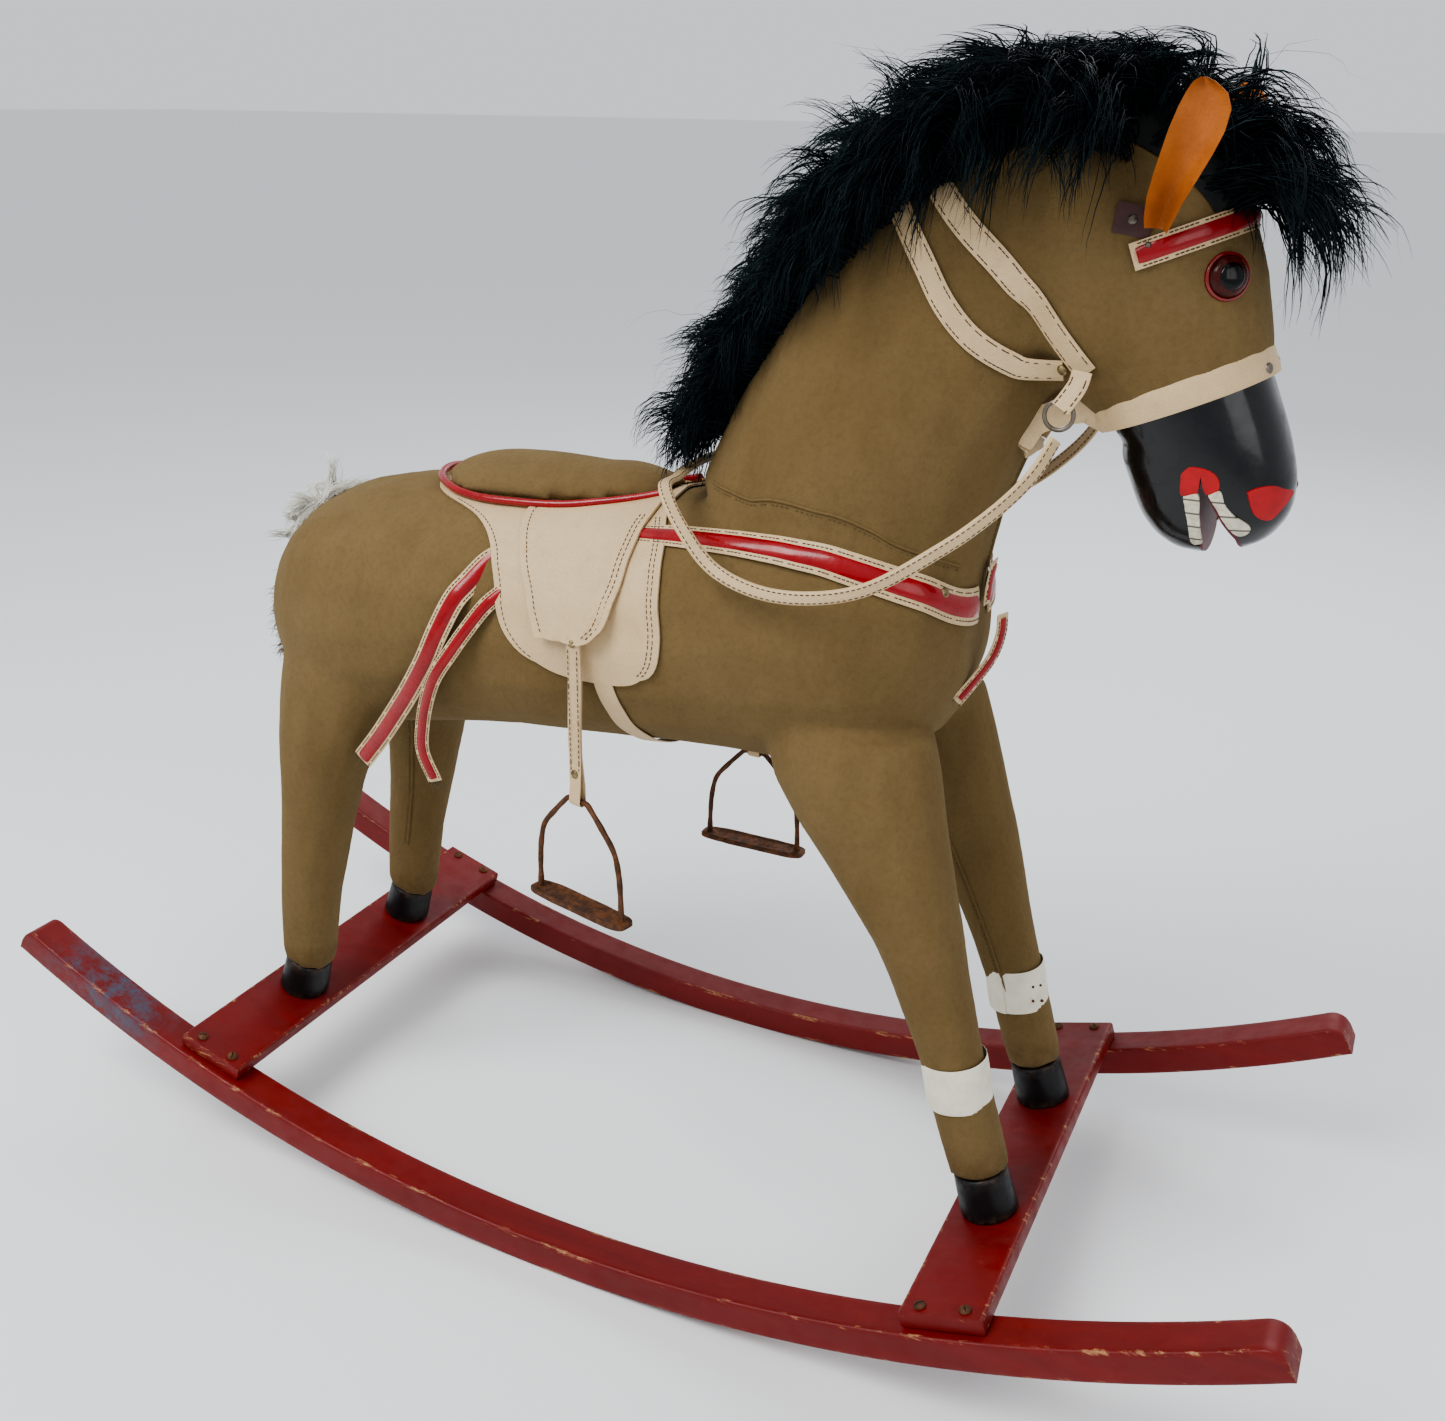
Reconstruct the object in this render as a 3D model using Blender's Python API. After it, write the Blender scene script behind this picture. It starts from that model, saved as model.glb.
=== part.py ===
"""A stuffed plush horse standing on two wooden rockers.

+X is the way the horse faces, +Y is its left and +Z is up. The origin lies on the floor under
the middle of the rockers. Lengths are in metres and angles in radians unless a name says otherwise.
"""

from math import asin, cos, degrees, pi, radians, sin, sqrt

import bmesh
import bpy
from mathutils import Matrix, Vector
from mathutils.bvhtree import BVHTree

GAP = 0.0003
SIDES = (("right", -1), ("left", 1))

# Rockers and the two boards across them
ROCKER_LENGTH = 1.10
ROCKER_RADIUS = 1.144
ROCKER_DEPTH = 0.0255
ROCKER_WIDTH = 0.031
OUTER_WIDTH = 0.410
UNDERSIDE_FACETS = 15
TOP_FACETS = 25
ROCKER_END_ROUND = 0.013
BOARD_WIDTH = 0.0627
BOARD_THICKNESS = 0.0128
BOARD_SETBACK = 0.0073
BOARD_SEAT_GAP = 0.0006
BOARD_X = {"front": 0.3274, "rear": -0.3409}
SCREW_SPREAD = 0.0168
SCREW_HEAD = 0.0045
SCREW_SHANK = 0.0019
SCREW_LENGTH = 0.028
SCREW_SIDES = 8

# Legs
FOOT_SPREAD = 0.077
HOOF_HEIGHT = 0.036
HOOF_BASE = 0.0218
HOOF_TOP = 0.0203
POST_RADIUS = 0.009
POST_TOP = {"front": (0.204, 0.053, 0.470), "rear": (-0.255, 0.057, 0.470)}
# Boxes inside the body, as x from and to, width, z from and to
SPINE_BOARD = ((-0.280, 0.215), 0.136, (0.460, 0.480))
HIP_BLOCK = ((-0.296, -0.130), 0.124, (0.4555, 0.516))
NECK_POST_RADIUS = 0.012
NECK_POST_FOOT = 0.150
NECK_POST_TOP = (0.268, 0, 0.790)

# Cover, straps and flaps
COVER = 0.003
STRAP = 0.002
STRAP_CROWN = 0.0003
DRAPE_REACH = 0.030
BAND_LIFT = 0.0023
LEATHER_Y = 0.120
LEATHER_TOP = 0.503
LEATHER_WIDTH = 0.011
LEATHER_THICKNESS = 0.0025
IRON_WIRE = 0.0022
IRON_HALF_WIDTH = 0.0435
IRON_HEIGHT = 0.088
IRON_LOOP = {
    "right": (-0.005, 0.374, radians(-14)),
    "left": (0.030, 0.326, radians(0)),
}
REIN_RADIUS = 0.0045

# Outline stations. Torso: x, top, bottom, half width.
TORSO = [
    (-0.346, 0.492, 0.430, 0.030),
    (-0.337, 0.515, 0.402, 0.060),
    (-0.314, 0.540, 0.372, 0.085),
    (-0.278, 0.559, 0.356, 0.100),
    (-0.232, 0.572, 0.358, 0.106),
    (-0.170, 0.577, 0.372, 0.109),
    (-0.100, 0.578, 0.384, 0.110),
    (-0.020, 0.580, 0.391, 0.110),
    (0.060, 0.597, 0.398, 0.110),
    (0.130, 0.620, 0.400, 0.107),
    (0.185, 0.620, 0.408, 0.100),
    (0.225, 0.603, 0.425, 0.086),
    (0.247, 0.575, 0.453, 0.064),
    (0.256, 0.545, 0.483, 0.036),
]
# Neck and head: x and z of the ring's middle, its tilt in degrees, half depth, half width.
NECK = [
    (0.145, 0.550, -31, 0.115, 0.080),
    (0.163, 0.602, -31, 0.109, 0.075),
    (0.184, 0.660, -31, 0.098, 0.068),
    (0.210, 0.711, -30, 0.090, 0.062),
    (0.238, 0.757, -26, 0.082, 0.057),
    (0.264, 0.798, -20, 0.062, 0.050),
    (0.276, 0.820, -18, 0.035, 0.032),
]
HEAD = [
    (0.240, 0.842, 47, 0.018, 0.026),
    (0.258, 0.832, 47, 0.040, 0.046),
    (0.296, 0.802, 47, 0.068, 0.058),
    (0.336, 0.764, 46, 0.079, 0.060),
    (0.364, 0.725, 38, 0.067, 0.054),
    (0.3815, 0.688, 24, 0.0505, 0.0455),
]
MUZZLE = [
    (0.3817, 0.6876, 24, 0.0500, 0.0448),
    (0.3960, 0.6560, 21, 0.0505, 0.0440),
    (0.4065, 0.6320, 18, 0.0480, 0.0410),
    (0.4120, 0.6140, 14, 0.0410, 0.0355),
    (0.4140, 0.6020, 12, 0.0280, 0.0240),
]
# Legs above the hoof: z, x and y of the ring's middle, half length, half width, tilt in degrees.
LEG = {
    "front": [
        (0.200, 0.2880, 0.0765, 0.0235, 0.0220, 9),
        (0.250, 0.2710, 0.0760, 0.0268, 0.0240, 5),
        (0.300, 0.2525, 0.0750, 0.0335, 0.0285, 0),
        (0.360, 0.2220, 0.0710, 0.0500, 0.0355, 0),
        (0.410, 0.1960, 0.0640, 0.0640, 0.0400, 0),
        (0.452, 0.1850, 0.0580, 0.0640, 0.0370, 0),
    ],
    "rear": [
        (0.200, -0.3150, 0.0770, 0.0275, 0.0255, -7),
        (0.250, -0.3040, 0.0765, 0.0305, 0.0285, -3),
        (0.310, -0.2920, 0.0740, 0.0355, 0.0345, 0),
        (0.360, -0.2800, 0.0690, 0.0460, 0.0400, 0),
        (0.410, -0.2660, 0.0610, 0.0590, 0.0420, 0),
        (0.452, -0.2580, 0.0560, 0.0590, 0.0380, 0),
    ],
}
LEG_FOOT = {"front": (0.0222, 0.0208), "rear": (0.0240, 0.0222)}
LEG_BAND = {"right": (0.177, 0.214), "left": (0.173, 0.210)}
# Mane, from the withers over the poll to the forelock: ring middle, tilt, half depth, half width.
MANE = [
    (0.050, 0.640, -38, 0.014, 0.020),
    (0.072, 0.670, -34, 0.032, 0.034),
    (0.100, 0.718, -32, 0.043, 0.042),
    (0.140, 0.772, -32, 0.047, 0.048),
    (0.192, 0.824, -46, 0.052, 0.052),
    (0.250, 0.856, -82, 0.042, 0.052),
    (0.315, 0.861, -96, 0.036, 0.050),
    (0.385, 0.845, -130, 0.036, 0.047),
    (0.425, 0.805, -165, 0.030, 0.042),
    (0.440, 0.765, -175, 0.018, 0.034),
    (0.443, 0.748, -178, 0.008, 0.018),
]

TAIL_LINE = (Vector((-0.326, 0, 0.552)), Vector((-0.360, 0, 0.506)))
TAIL_TILT = -36

BODY_POWER = 2.2
TORSO_RINGS = 16
TORSO_SIDES = 20
NECK_SIDES = 16
LEG_SIDES = 12

COLOURS = {
    "plush": (0.235, 0.165, 0.075),
    "straw": (0.62, 0.47, 0.22),
    "vinyl": (0.72, 0.64, 0.50),
    "red_vinyl": (0.62, 0.02, 0.02),
    "red_wood": (0.32, 0.025, 0.02),
    "bare_wood": (0.50, 0.33, 0.17),
    "black": (0.012, 0.012, 0.013),
    "rusty_iron": (0.11, 0.055, 0.035),
    "steel": (0.30, 0.27, 0.24),
    "leather": (0.60, 0.22, 0.07),
    "eye": (0.20, 0.01, 0.005),
    "white_hair": (0.72, 0.71, 0.66),
}
# Roughness and metallic of the finishes that differ from the plain one.
FINISH = {
    "rusty_iron": (0.65, 0.8),
    "steel": (0.40, 1.0),
    "eye": (0.05, 0.0),
    "red_vinyl": (0.20, 0.0),
}


def clear_scene():
    for obj in list(bpy.data.objects):
        bpy.data.objects.remove(obj, do_unlink=True)


def material(name):
    """The Principled material of one finish, made on first use."""
    found = bpy.data.materials.get(name)
    if found:
        return found
    made = bpy.data.materials.new(name)
    made.use_nodes = True
    roughness, metallic = FINISH.get(name, (0.7, 0.0))
    shader = made.node_tree.nodes["Principled BSDF"]
    shader.inputs["Base Color"].default_value = (*COLOURS[name], 1.0)
    shader.inputs["Roughness"].default_value = roughness
    shader.inputs["Metallic"].default_value = metallic
    made.diffuse_color = (*COLOURS[name], 1.0)
    return made


def add(name, shape, finish, matrix=None):
    """Turns a bmesh into a named object, or a hidden cutter if it has no finish."""
    bmesh.ops.recalc_face_normals(shape, faces=shape.faces)
    mesh = bpy.data.meshes.new(name)
    shape.to_mesh(mesh)
    shape.free()
    mesh.shade_smooth()
    mesh.set_sharp_from_angle(angle=radians(40))
    obj = bpy.data.objects.new(name, mesh)
    bpy.context.scene.collection.objects.link(obj)
    if matrix is not None:
        obj.matrix_world = matrix
    if finish:
        mesh.materials.append(material(finish))
    else:
        obj.hide_render = True
        obj.display_type = "WIRE"
    return obj


def boolean(obj, other, operation="DIFFERENCE", solver="EXACT"):
    step = obj.modifiers.new(f"{operation.lower()} {other.name}", "BOOLEAN")
    step.operation = operation
    step.solver = solver
    step.object = other


def blend(stations, key):
    """Smooth values between stations, whose first number is the key."""
    last = len(stations) - 1
    i = max(j for j in range(last) if stations[j][0] <= key or j == 0)
    a, b = stations[i], stations[i + 1]
    before = stations[i - 1] if i > 0 else a
    after = stations[i + 2] if i + 2 <= last else b
    span = b[0] - a[0]
    t = min(max((key - a[0]) / span, 0.0), 1.0)
    values = []
    for k in range(1, len(a)):
        slope_a = (b[k] - before[k]) / (b[0] - before[0]) * span
        slope_b = (after[k] - a[k]) / (after[0] - a[0]) * span
        rise = (2 * t**3 - 3 * t**2 + 1) * a[k] + (3 * t**2 - 2 * t**3) * b[k]
        bend = (t**3 - 2 * t**2 + t) * slope_a + (t**3 - t**2) * slope_b
        values.append(rise + bend)
    return values


def numbered(stations, steps):
    """Stations keyed 0, 1, 2, ... and filled in with `steps` rings to each span."""
    keyed = [(i, *values) for i, values in enumerate(stations)]
    count = (len(stations) - 1) * steps
    return [blend(keyed, i / steps) for i in range(count + 1)]


def superellipse(angle, power=BODY_POWER):
    """Point on a rounded outline of half size 1 in each direction."""
    c, s = cos(angle), sin(angle)
    return abs(c) ** (2 / power) * (1 if c >= 0 else -1), abs(s) ** (2 / power) * (1 if s >= 0 else -1)


def ring(x, z, tilt, half_depth, half_width, y=0.0, sides=NECK_SIDES, grow=0.0):
    """A closed ring of points. Its depth lies in the XZ plane at `tilt` degrees from +X."""
    along = Vector((cos(radians(tilt)), 0, sin(radians(tilt))))
    across = Vector((0, 1, 0))
    middle = Vector((x, y, z))
    points = []
    for i in range(sides):
        c, s = superellipse(2 * pi * i / sides)
        points.append(middle + along * (half_depth + grow) * c + across * (half_width + grow) * s)
    return points


def skin(rings, cyclic=False, caps=True):
    """A mesh through equal rings of points, closed at both ends or joined into a loop."""
    shape = bmesh.new()
    rows = [[shape.verts.new(p) for p in points] for points in rings]
    count = len(rows[0])
    pairs = list(zip(rows, rows[1:]))
    if cyclic:
        pairs.append((rows[-1], rows[0]))
    for a, b in pairs:
        for i in range(count):
            j = (i + 1) % count
            shape.faces.new((a[i], a[j], b[j], b[i]))
    if caps and not cyclic:
        shape.faces.new(rows[0])
        shape.faces.new(rows[-1])
    return shape


def torso_section(x):
    top, bottom, half_width = blend(TORSO, x)
    return (top + bottom) / 2, (top - bottom) / 2, half_width


def torso_point(x, angle, grow=0.0):
    """Point on the torso at `angle` from its top line, positive to the left."""
    middle, half_height, half_width = torso_section(x)
    up, out = superellipse(angle)
    return Vector((x, (half_width + grow) * out, middle + (half_height + grow) * up))


def torso_shape(grow=0.0):
    first, last = TORSO[0][0], TORSO[-1][0]
    rings = []
    for i in range(TORSO_RINGS + 1):
        # Rings crowd towards the two round ends.
        even = i / TORSO_RINGS
        t = 0.3 * (1 - cos(pi * even)) + 0.4 * even
        x = first + t * (last - first)
        shift = grow * (2 * even - 1)
        points = [torso_point(x, 2 * pi * k / TORSO_SIDES, grow) for k in range(TORSO_SIDES)]
        rings.append([p + Vector((shift, 0, 0)) for p in points])
    return skin(rings)


def with_end(rings, length):
    """Rings with the last one moved out by a copy, or in along the sides if length is negative."""
    middles = [sum(points, Vector()) / len(points) for points in rings[-2:]]
    out = middles[1] - middles[0]
    if length > 0:
        return rings + [[p + out.normalized() * length for p in rings[-1]]]
    part = 1 + length / out.length
    return rings[:-1] + [[p.lerp(q, part) for p, q in zip(rings[-2], rings[-1])]]


def lengthened(rings, start, end):
    return with_end(with_end(rings, end)[::-1], start)[::-1]


def neck_shape(grow=0.0, extra=0.0):
    rings = [ring(*values, grow=grow) for values in numbered(NECK, 2)]
    return skin(lengthened(rings, extra or grow, grow))


def head_shape(grow=0.0, extra=0.0):
    rings = [ring(*values, grow=grow) for values in numbered(HEAD, 2)]
    return skin(lengthened(rings, grow, extra))


def board_matrix(which, height=0.0):
    """Frame on a board: X across its width, Z off its face, `height` above its underside."""
    inner = ROCKER_RADIUS - ROCKER_DEPTH
    angle = asin(BOARD_X[which] / inner)
    seat = sqrt(inner**2 - (BOARD_WIDTH / 2) ** 2) - BOARD_SEAT_GAP - height
    place = Vector((seat * sin(angle), 0, ROCKER_RADIUS - seat * cos(angle)))
    return Matrix.Translation(place) @ Matrix.Rotation(-angle, 4, "Y")


def leg_stations(which):
    """Stations of a leg from the top of its hoof up."""
    foot = board_matrix(which, BOARD_THICKNESS + 2 * GAP + HOOF_HEIGHT)
    length, width = LEG_FOOT[which]
    base = foot.translation
    return [(base.z, base.x, FOOT_SPREAD, length, width, -degrees(foot.to_euler().y))] + LEG[which]


def leg_rings(which, side, grow=0.0):
    stations = leg_stations(which)
    heights = []
    for low, high in zip(stations, stations[1:]):
        heights += [low[0], (low[0] + high[0]) / 2]
    rings = []
    for z in heights + [stations[-1][0]]:
        x, y, length, width, tilt = blend(stations, z)
        rings.append(ring(x, z, tilt, length, width, side * y, LEG_SIDES, grow))
    return rings


def leg_shape(which, side, grow=0.0):
    rings = leg_rings(which, side, grow)
    if grow > 0:
        rings[-1] = [p + Vector((0, 0, grow)) for p in rings[-1]]
    return skin(rings)


def cylinder(start, end, radius, sides=12, top_radius=None):
    """A closed cylinder or cone between two points."""
    axis = end - start
    frame = axis.to_track_quat("Z", "Y").to_matrix()
    rings = []
    for centre, r in ((start, radius), (end, radius if top_radius is None else top_radius)):
        turn = (2 * pi * i / sides for i in range(sides))
        rings.append([centre + frame @ Vector((r * cos(a), r * sin(a), 0)) for a in turn])
    return skin(rings)


def tube(points, radius, sides=6, cyclic=False):
    """A round tube through points, without twist."""
    rings = []
    count = len(points)
    normal = None
    for i, point in enumerate(points):
        ahead = points[(i + 1) % count] if cyclic or i + 1 < count else point
        behind = points[i - 1] if cyclic or i > 0 else point
        direction = (ahead - behind).normalized()
        if normal is None:
            normal = direction.orthogonal()
        normal = (normal - direction * normal.dot(direction)).normalized()
        other = direction.cross(normal)
        turn = (2 * pi * k / sides for k in range(sides))
        rings.append([point + normal * radius * cos(a) + other * radius * sin(a) for a in turn])
    return skin(rings, cyclic=cyclic)


def smooth_path(points, steps):
    """More points on a smooth curve through the given ones."""
    keyed = [(i, *p) for i, p in enumerate(points)]
    count = (len(points) - 1) * steps
    return [Vector(blend(keyed, i / steps)) for i in range(count + 1)]


def mirrored(points):
    return [Vector((p[0], -p[1], p[2])) for p in points]


# ---- rockers, boards and screws ----


def rocker_outline():
    """Points of the rocker's side, as x and z, on polygons whose flats touch the arcs."""
    half = asin(ROCKER_LENGTH / 2 / ROCKER_RADIUS)
    step = 2 * half / UNDERSIDE_FACETS
    outer = ROCKER_RADIUS / cos(step / 2)
    inner = ROCKER_RADIUS - ROCKER_DEPTH
    trim = ROCKER_END_ROUND / inner
    points = [(outer, -half + step * i) for i in range(UNDERSIDE_FACETS + 1)]
    points.append((inner + ROCKER_END_ROUND, half))
    points.append((inner + ROCKER_END_ROUND * 0.3, half - trim * 0.3))
    top = [-half + 2 * half * i / TOP_FACETS for i in range(1, TOP_FACETS)]
    points.append((inner, half - trim))
    points.extend((inner, angle) for angle in reversed(top))
    points.append((inner, -half + trim))
    points.append((inner + ROCKER_END_ROUND * 0.3, -half + trim * 0.3))
    points.append((inner + ROCKER_END_ROUND, -half))
    return [(r * sin(a), ROCKER_RADIUS - r * cos(a)) for r, a in points]


def rocker(name, side):
    outer = side * OUTER_WIDTH / 2
    inner = outer - side * ROCKER_WIDTH
    rings = [[Vector((x, y, z)) for x, z in rocker_outline()] for y in (inner, outer)]
    return add(name, skin(rings), "red_wood")


def board(which):
    half_length = OUTER_WIDTH / 2 - BOARD_SETBACK
    shape = bmesh.new()
    bmesh.ops.create_cube(shape, size=1.0)
    bmesh.ops.scale(shape, verts=shape.verts, vec=(BOARD_WIDTH, 2 * half_length, BOARD_THICKNESS))
    bmesh.ops.translate(shape, verts=shape.verts, vec=(0, 0, BOARD_THICKNESS / 2))
    upper = [e for e in shape.edges if all(v.co.z > BOARD_THICKNESS / 2 for v in e.verts)]
    bmesh.ops.bevel(shape, geom=upper, offset=0.004, segments=2, profile=0.5, affect="EDGES")
    return add(f"{which}_board", shape, "red_wood", board_matrix(which))


def screw_shape():
    """A round-head screw. Its head sits just over z=0 and its shank runs down."""
    profile = [(SCREW_SHANK, -SCREW_LENGTH), (SCREW_SHANK, 0.0), (SCREW_HEAD, 0.0)]
    profile += [(SCREW_HEAD * 0.92, 0.0013), (SCREW_HEAD * 0.5, 0.0024)]
    rings = []
    for radius, z in profile:
        turn = (2 * pi * i / SCREW_SIDES for i in range(SCREW_SIDES))
        rings.append([Vector((radius * cos(a), radius * sin(a), z + GAP)) for a in turn])
    return skin(rings)


def screw_hole():
    bottom = Vector((0, 0, -SCREW_LENGTH - GAP))
    return cylinder(bottom, Vector((0, 0, 0.001)), SCREW_SHANK + GAP, sides=SCREW_SIDES)


def board_screws(which, plank, rails):
    """Two screws at each end of a board, down into the rocker."""
    face = board_matrix(which, BOARD_THICKNESS)
    for side_name, side in SIDES:
        for place, offset in (("back", -SCREW_SPREAD), ("fore", SCREW_SPREAD)):
            spot = Vector((offset, side * (OUTER_WIDTH - ROCKER_WIDTH) / 2, 0))
            matrix = face @ Matrix.Translation(spot)
            add(f"screw_{which}_{side_name}_{place}", screw_shape(), "steel", matrix)
            hole = add(f"hole_{which}_{side_name}_{place}", screw_hole(), None, matrix)
            boolean(plank, hole)
            boolean(rails[side_name], hole)


# ---- legs ----


def post_line(which, side):
    """Bottom and top middle of the wooden post inside a leg."""
    foot = board_matrix(which, BOARD_THICKNESS) @ Vector((0, side * FOOT_SPREAD, 0))
    x, y, z = POST_TOP[which]
    top = Vector((x, side * y, z))
    down = (foot - top).normalized()
    return foot + down * (BOARD_THICKNESS - 0.001), top


def leg(which, side_name, side, plank):
    """Hoof, post and stuffed plush sleeve of one leg. Returns cutters for the body."""
    label = f"{which}_{side_name}"
    start, top = post_line(which, side)
    add(f"leg_post_{label}", cylinder(start, top, POST_RADIUS), "bare_wood")
    reach = (top - start).normalized()
    drill = cylinder(start - reach * 0.01, top + reach * GAP, POST_RADIUS + GAP)
    bore = add(f"bore_{label}", drill, None)
    frame = board_matrix(which, BOARD_THICKNESS + GAP)
    foot = Vector((0, side * FOOT_SPREAD, 0))
    cone = cylinder(foot, foot + Vector((0, 0, HOOF_HEIGHT)), HOOF_BASE, 20, HOOF_TOP)
    hoof = add(f"hoof_{label}", cone, "black", frame)
    sleeve = add(f"leg_sleeve_{label}", leg_shape(which, side), "plush")
    for piece in (plank, hoof, sleeve):
        boolean(piece, bore)
    socket = add(f"socket_{label}", leg_shape(which, side, 2 * GAP), None)
    return bore, socket


def leg_band(side_name, side):
    """White band round a front leg, just above the hoof."""
    low, high = LEG_BAND[side_name]
    stations = leg_stations("front")
    rings = []
    for z, grow in ((low, 0.0012), (high, 0.0012), (high, 0.0024), (low, 0.0024)):
        x, y, length, width, tilt = blend(stations, z)
        rings.append(ring(x, z, tilt, length, width, side * y, LEG_SIDES, grow))
    return add(f"leg_band_{side_name}", skin(rings, cyclic=True), "vinyl")


# ---- body ----


def box_shape(low, high):
    shape = bmesh.new()
    bmesh.ops.create_cube(shape, size=1.0)
    bmesh.ops.scale(shape, verts=shape.verts, vec=high - low)
    bmesh.ops.translate(shape, verts=shape.verts, vec=(low + high) / 2)
    return shape


def inner_box(board, grow=0.0):
    """A box of the wooden frame, or with `grow` the space round it."""
    (x0, x1), width, (z0, z1) = board
    room = Vector((grow, grow, grow))
    return box_shape(Vector((x0, -width / 2, z0)) - room, Vector((x1, width / 2, z1)) + room)


def wooden_frame(bores):
    """Spine board, hip block and neck post, glued together. Returns the cutter round the post."""
    frame = add("wooden_frame", inner_box(SPINE_BOARD), "bare_wood")
    boolean(frame, add("hip_block", inner_box(HIP_BLOCK), None), "UNION")
    start = Vector((NECK_POST_FOOT, 0, sum(SPINE_BOARD[2]) / 2))
    end = Vector(NECK_POST_TOP)
    reach = (end - start).normalized()
    boolean(frame, add("neck_post", cylinder(start, end, NECK_POST_RADIUS), None), "UNION")
    for bore in bores:
        boolean(frame, bore)
    return add("neck_bore", cylinder(start, end + reach * GAP, NECK_POST_RADIUS + GAP), None)


def torso(bores, sockets, neck_bore):
    cover = add("torso_cover", torso_shape(), "plush")
    stuffing = add("torso_stuffing", torso_shape(-COVER - 2 * GAP), "straw")
    hollow = add("torso_hollow", torso_shape(-COVER), None)
    neck_space = add("neck_space", neck_shape(2 * GAP), None)
    slots = [add("spine_slot", inner_box(SPINE_BOARD, GAP), None)]
    slots.append(add("hip_slot", inner_box(HIP_BLOCK, GAP), None))
    boolean(cover, hollow)
    for cutter in (*sockets, neck_space):
        boolean(cover, cutter)
    # The exact solver leaves open edges where the slots meet the bores.
    for cutter in (*sockets, neck_space, *slots, *bores, neck_bore):
        boolean(stuffing, cutter, solver="MANIFOLD")


def neck_and_head(neck_bore):
    cover = add("neck_and_head_cover", neck_shape(), "plush")
    boolean(cover, add("head_outer", head_shape(), None), "UNION")
    boolean(cover, add("neck_hollow", neck_shape(-COVER, extra=0.01), None))
    boolean(cover, add("head_hollow", head_shape(-COVER, extra=0.01), None))
    stuffing = add("neck_and_head_stuffing", neck_shape(-COVER - 2 * GAP), "straw")
    boolean(stuffing, add("head_inner", head_shape(-COVER - 2 * GAP), None), "UNION")
    boolean(stuffing, neck_bore)


def muzzle():
    rings = [ring(*values) for values in numbered(MUZZLE, 2)]
    piece = add("muzzle", skin(rings), "black")
    mouth = box_shape(Vector((0.399, -0.06, 0.580)), Vector((0.413, 0.06, 0.640)))
    boolean(piece, add("mouth_slot", mouth, None))


class Surface:
    """The plush surface, for laying straps on it."""

    def __init__(self):
        shapes = [torso_shape(), neck_shape(), head_shape()]
        shapes += [leg_shape(which, side) for which in LEG for _, side in SIDES]
        self.trees = []
        for shape in shapes:
            bmesh.ops.recalc_face_normals(shape, faces=shape.faces)
            self.trees.append(BVHTree.FromBMesh(shape))
            shape.free()

    def hit(self, guide, inward):
        """Outermost point met near a guide point from outside, and its normal."""
        origin = guide - inward * DRAPE_REACH
        found = [tree.ray_cast(origin, inward) for tree in self.trees]
        found = [(far, spot, normal) for spot, normal, _, far in found if spot is not None]
        if not found:
            return None
        distance, spot, normal = min(found, key=lambda item: item[0])
        return (spot, normal) if distance < 2 * DRAPE_REACH else None


def drape(surface, guides, width, lift=0.0008, thickness=STRAP, widths=None):
    """A flat strap laid on the plush. Guides are pairs: a point near it and the way inwards."""
    rings = []
    last = len(guides) - 1
    for i, (point, inward) in enumerate(guides):
        along = (guides[min(i + 1, last)][0] - guides[max(i - 1, 0)][0]).normalized()
        sideways = along.cross(inward).normalized()
        half = (widths[i] if widths else width) / 2
        spots = [surface.hit(point + sideways * s * half, inward) for s in (-1, 0, 1)]
        normal = sum((n for _, n in filter(None, spots)), -inward * 0.2).normalized()
        middle = spots[1][0] if spots[1] else point
        row = []
        for spot, s in zip(spots, (-1, 0, 1)):
            level = middle + sideways * s * half
            place = spot[0] if spot and (spot[0] - level).length < half * 1.3 else level
            row.append(place if s else place + normal * STRAP_CROWN)
        inside = [p + normal * lift for p in row]
        outside = [p + normal * (lift + thickness) for p in reversed(row)]
        rings.append(inside + outside)
    return skin(rings)


def loop_guides(middle, forward, radius, span, steps):
    """Guides round a middle point, from -span to +span degrees, with 0 along `forward`."""
    guides = []
    for i in range(steps + 1):
        angle = radians(-span + 2 * span * i / steps)
        outward = forward * cos(angle) + Vector((0, 1, 0)) * sin(angle)
        guides.append((middle + outward * radius, -outward))
    return guides


def side_guides(points):
    """Guides through points on the right side, pressed straight to the left."""
    return [(p, Vector((0, 1, 0))) for p in smooth_path([Vector(p) for p in points], 3)]


# ---- saddle ----


def filled(rows):
    """Rows of an outline at the torso's own lengthwise edges and at its last angle."""
    step = 360 / TORSO_SIDES
    first, last = rows[0][0], rows[-1][0]
    angles = [step * k for k in range(TORSO_SIDES) if first <= step * k < last - 1] + [last]
    return [(angle, *blend(rows, angle)) for angle in angles]


def wrap(rows, inner, outer, steps):
    """A sheet round the back. Rows: angle from the top line, then first and last x."""
    rings = []
    for angle, x0, x1 in rows:
        xs = [x0 + (x1 - x0) * i / steps for i in range(steps + 1)]
        low = [torso_point(x, angle, inner) for x in xs]
        high = [torso_point(x, angle, outer) for x in reversed(xs)]
        rings.append(low + high)
    return skin(rings)


def both_sides(rows):
    """Rows for the right side, then their mirror for the left."""
    right = [(-radians(angle), x0, x1) for angle, x0, x1 in reversed(rows)]
    left = [(radians(angle), x0, x1) for angle, x0, x1 in rows if angle > 0]
    return right + left


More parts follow.
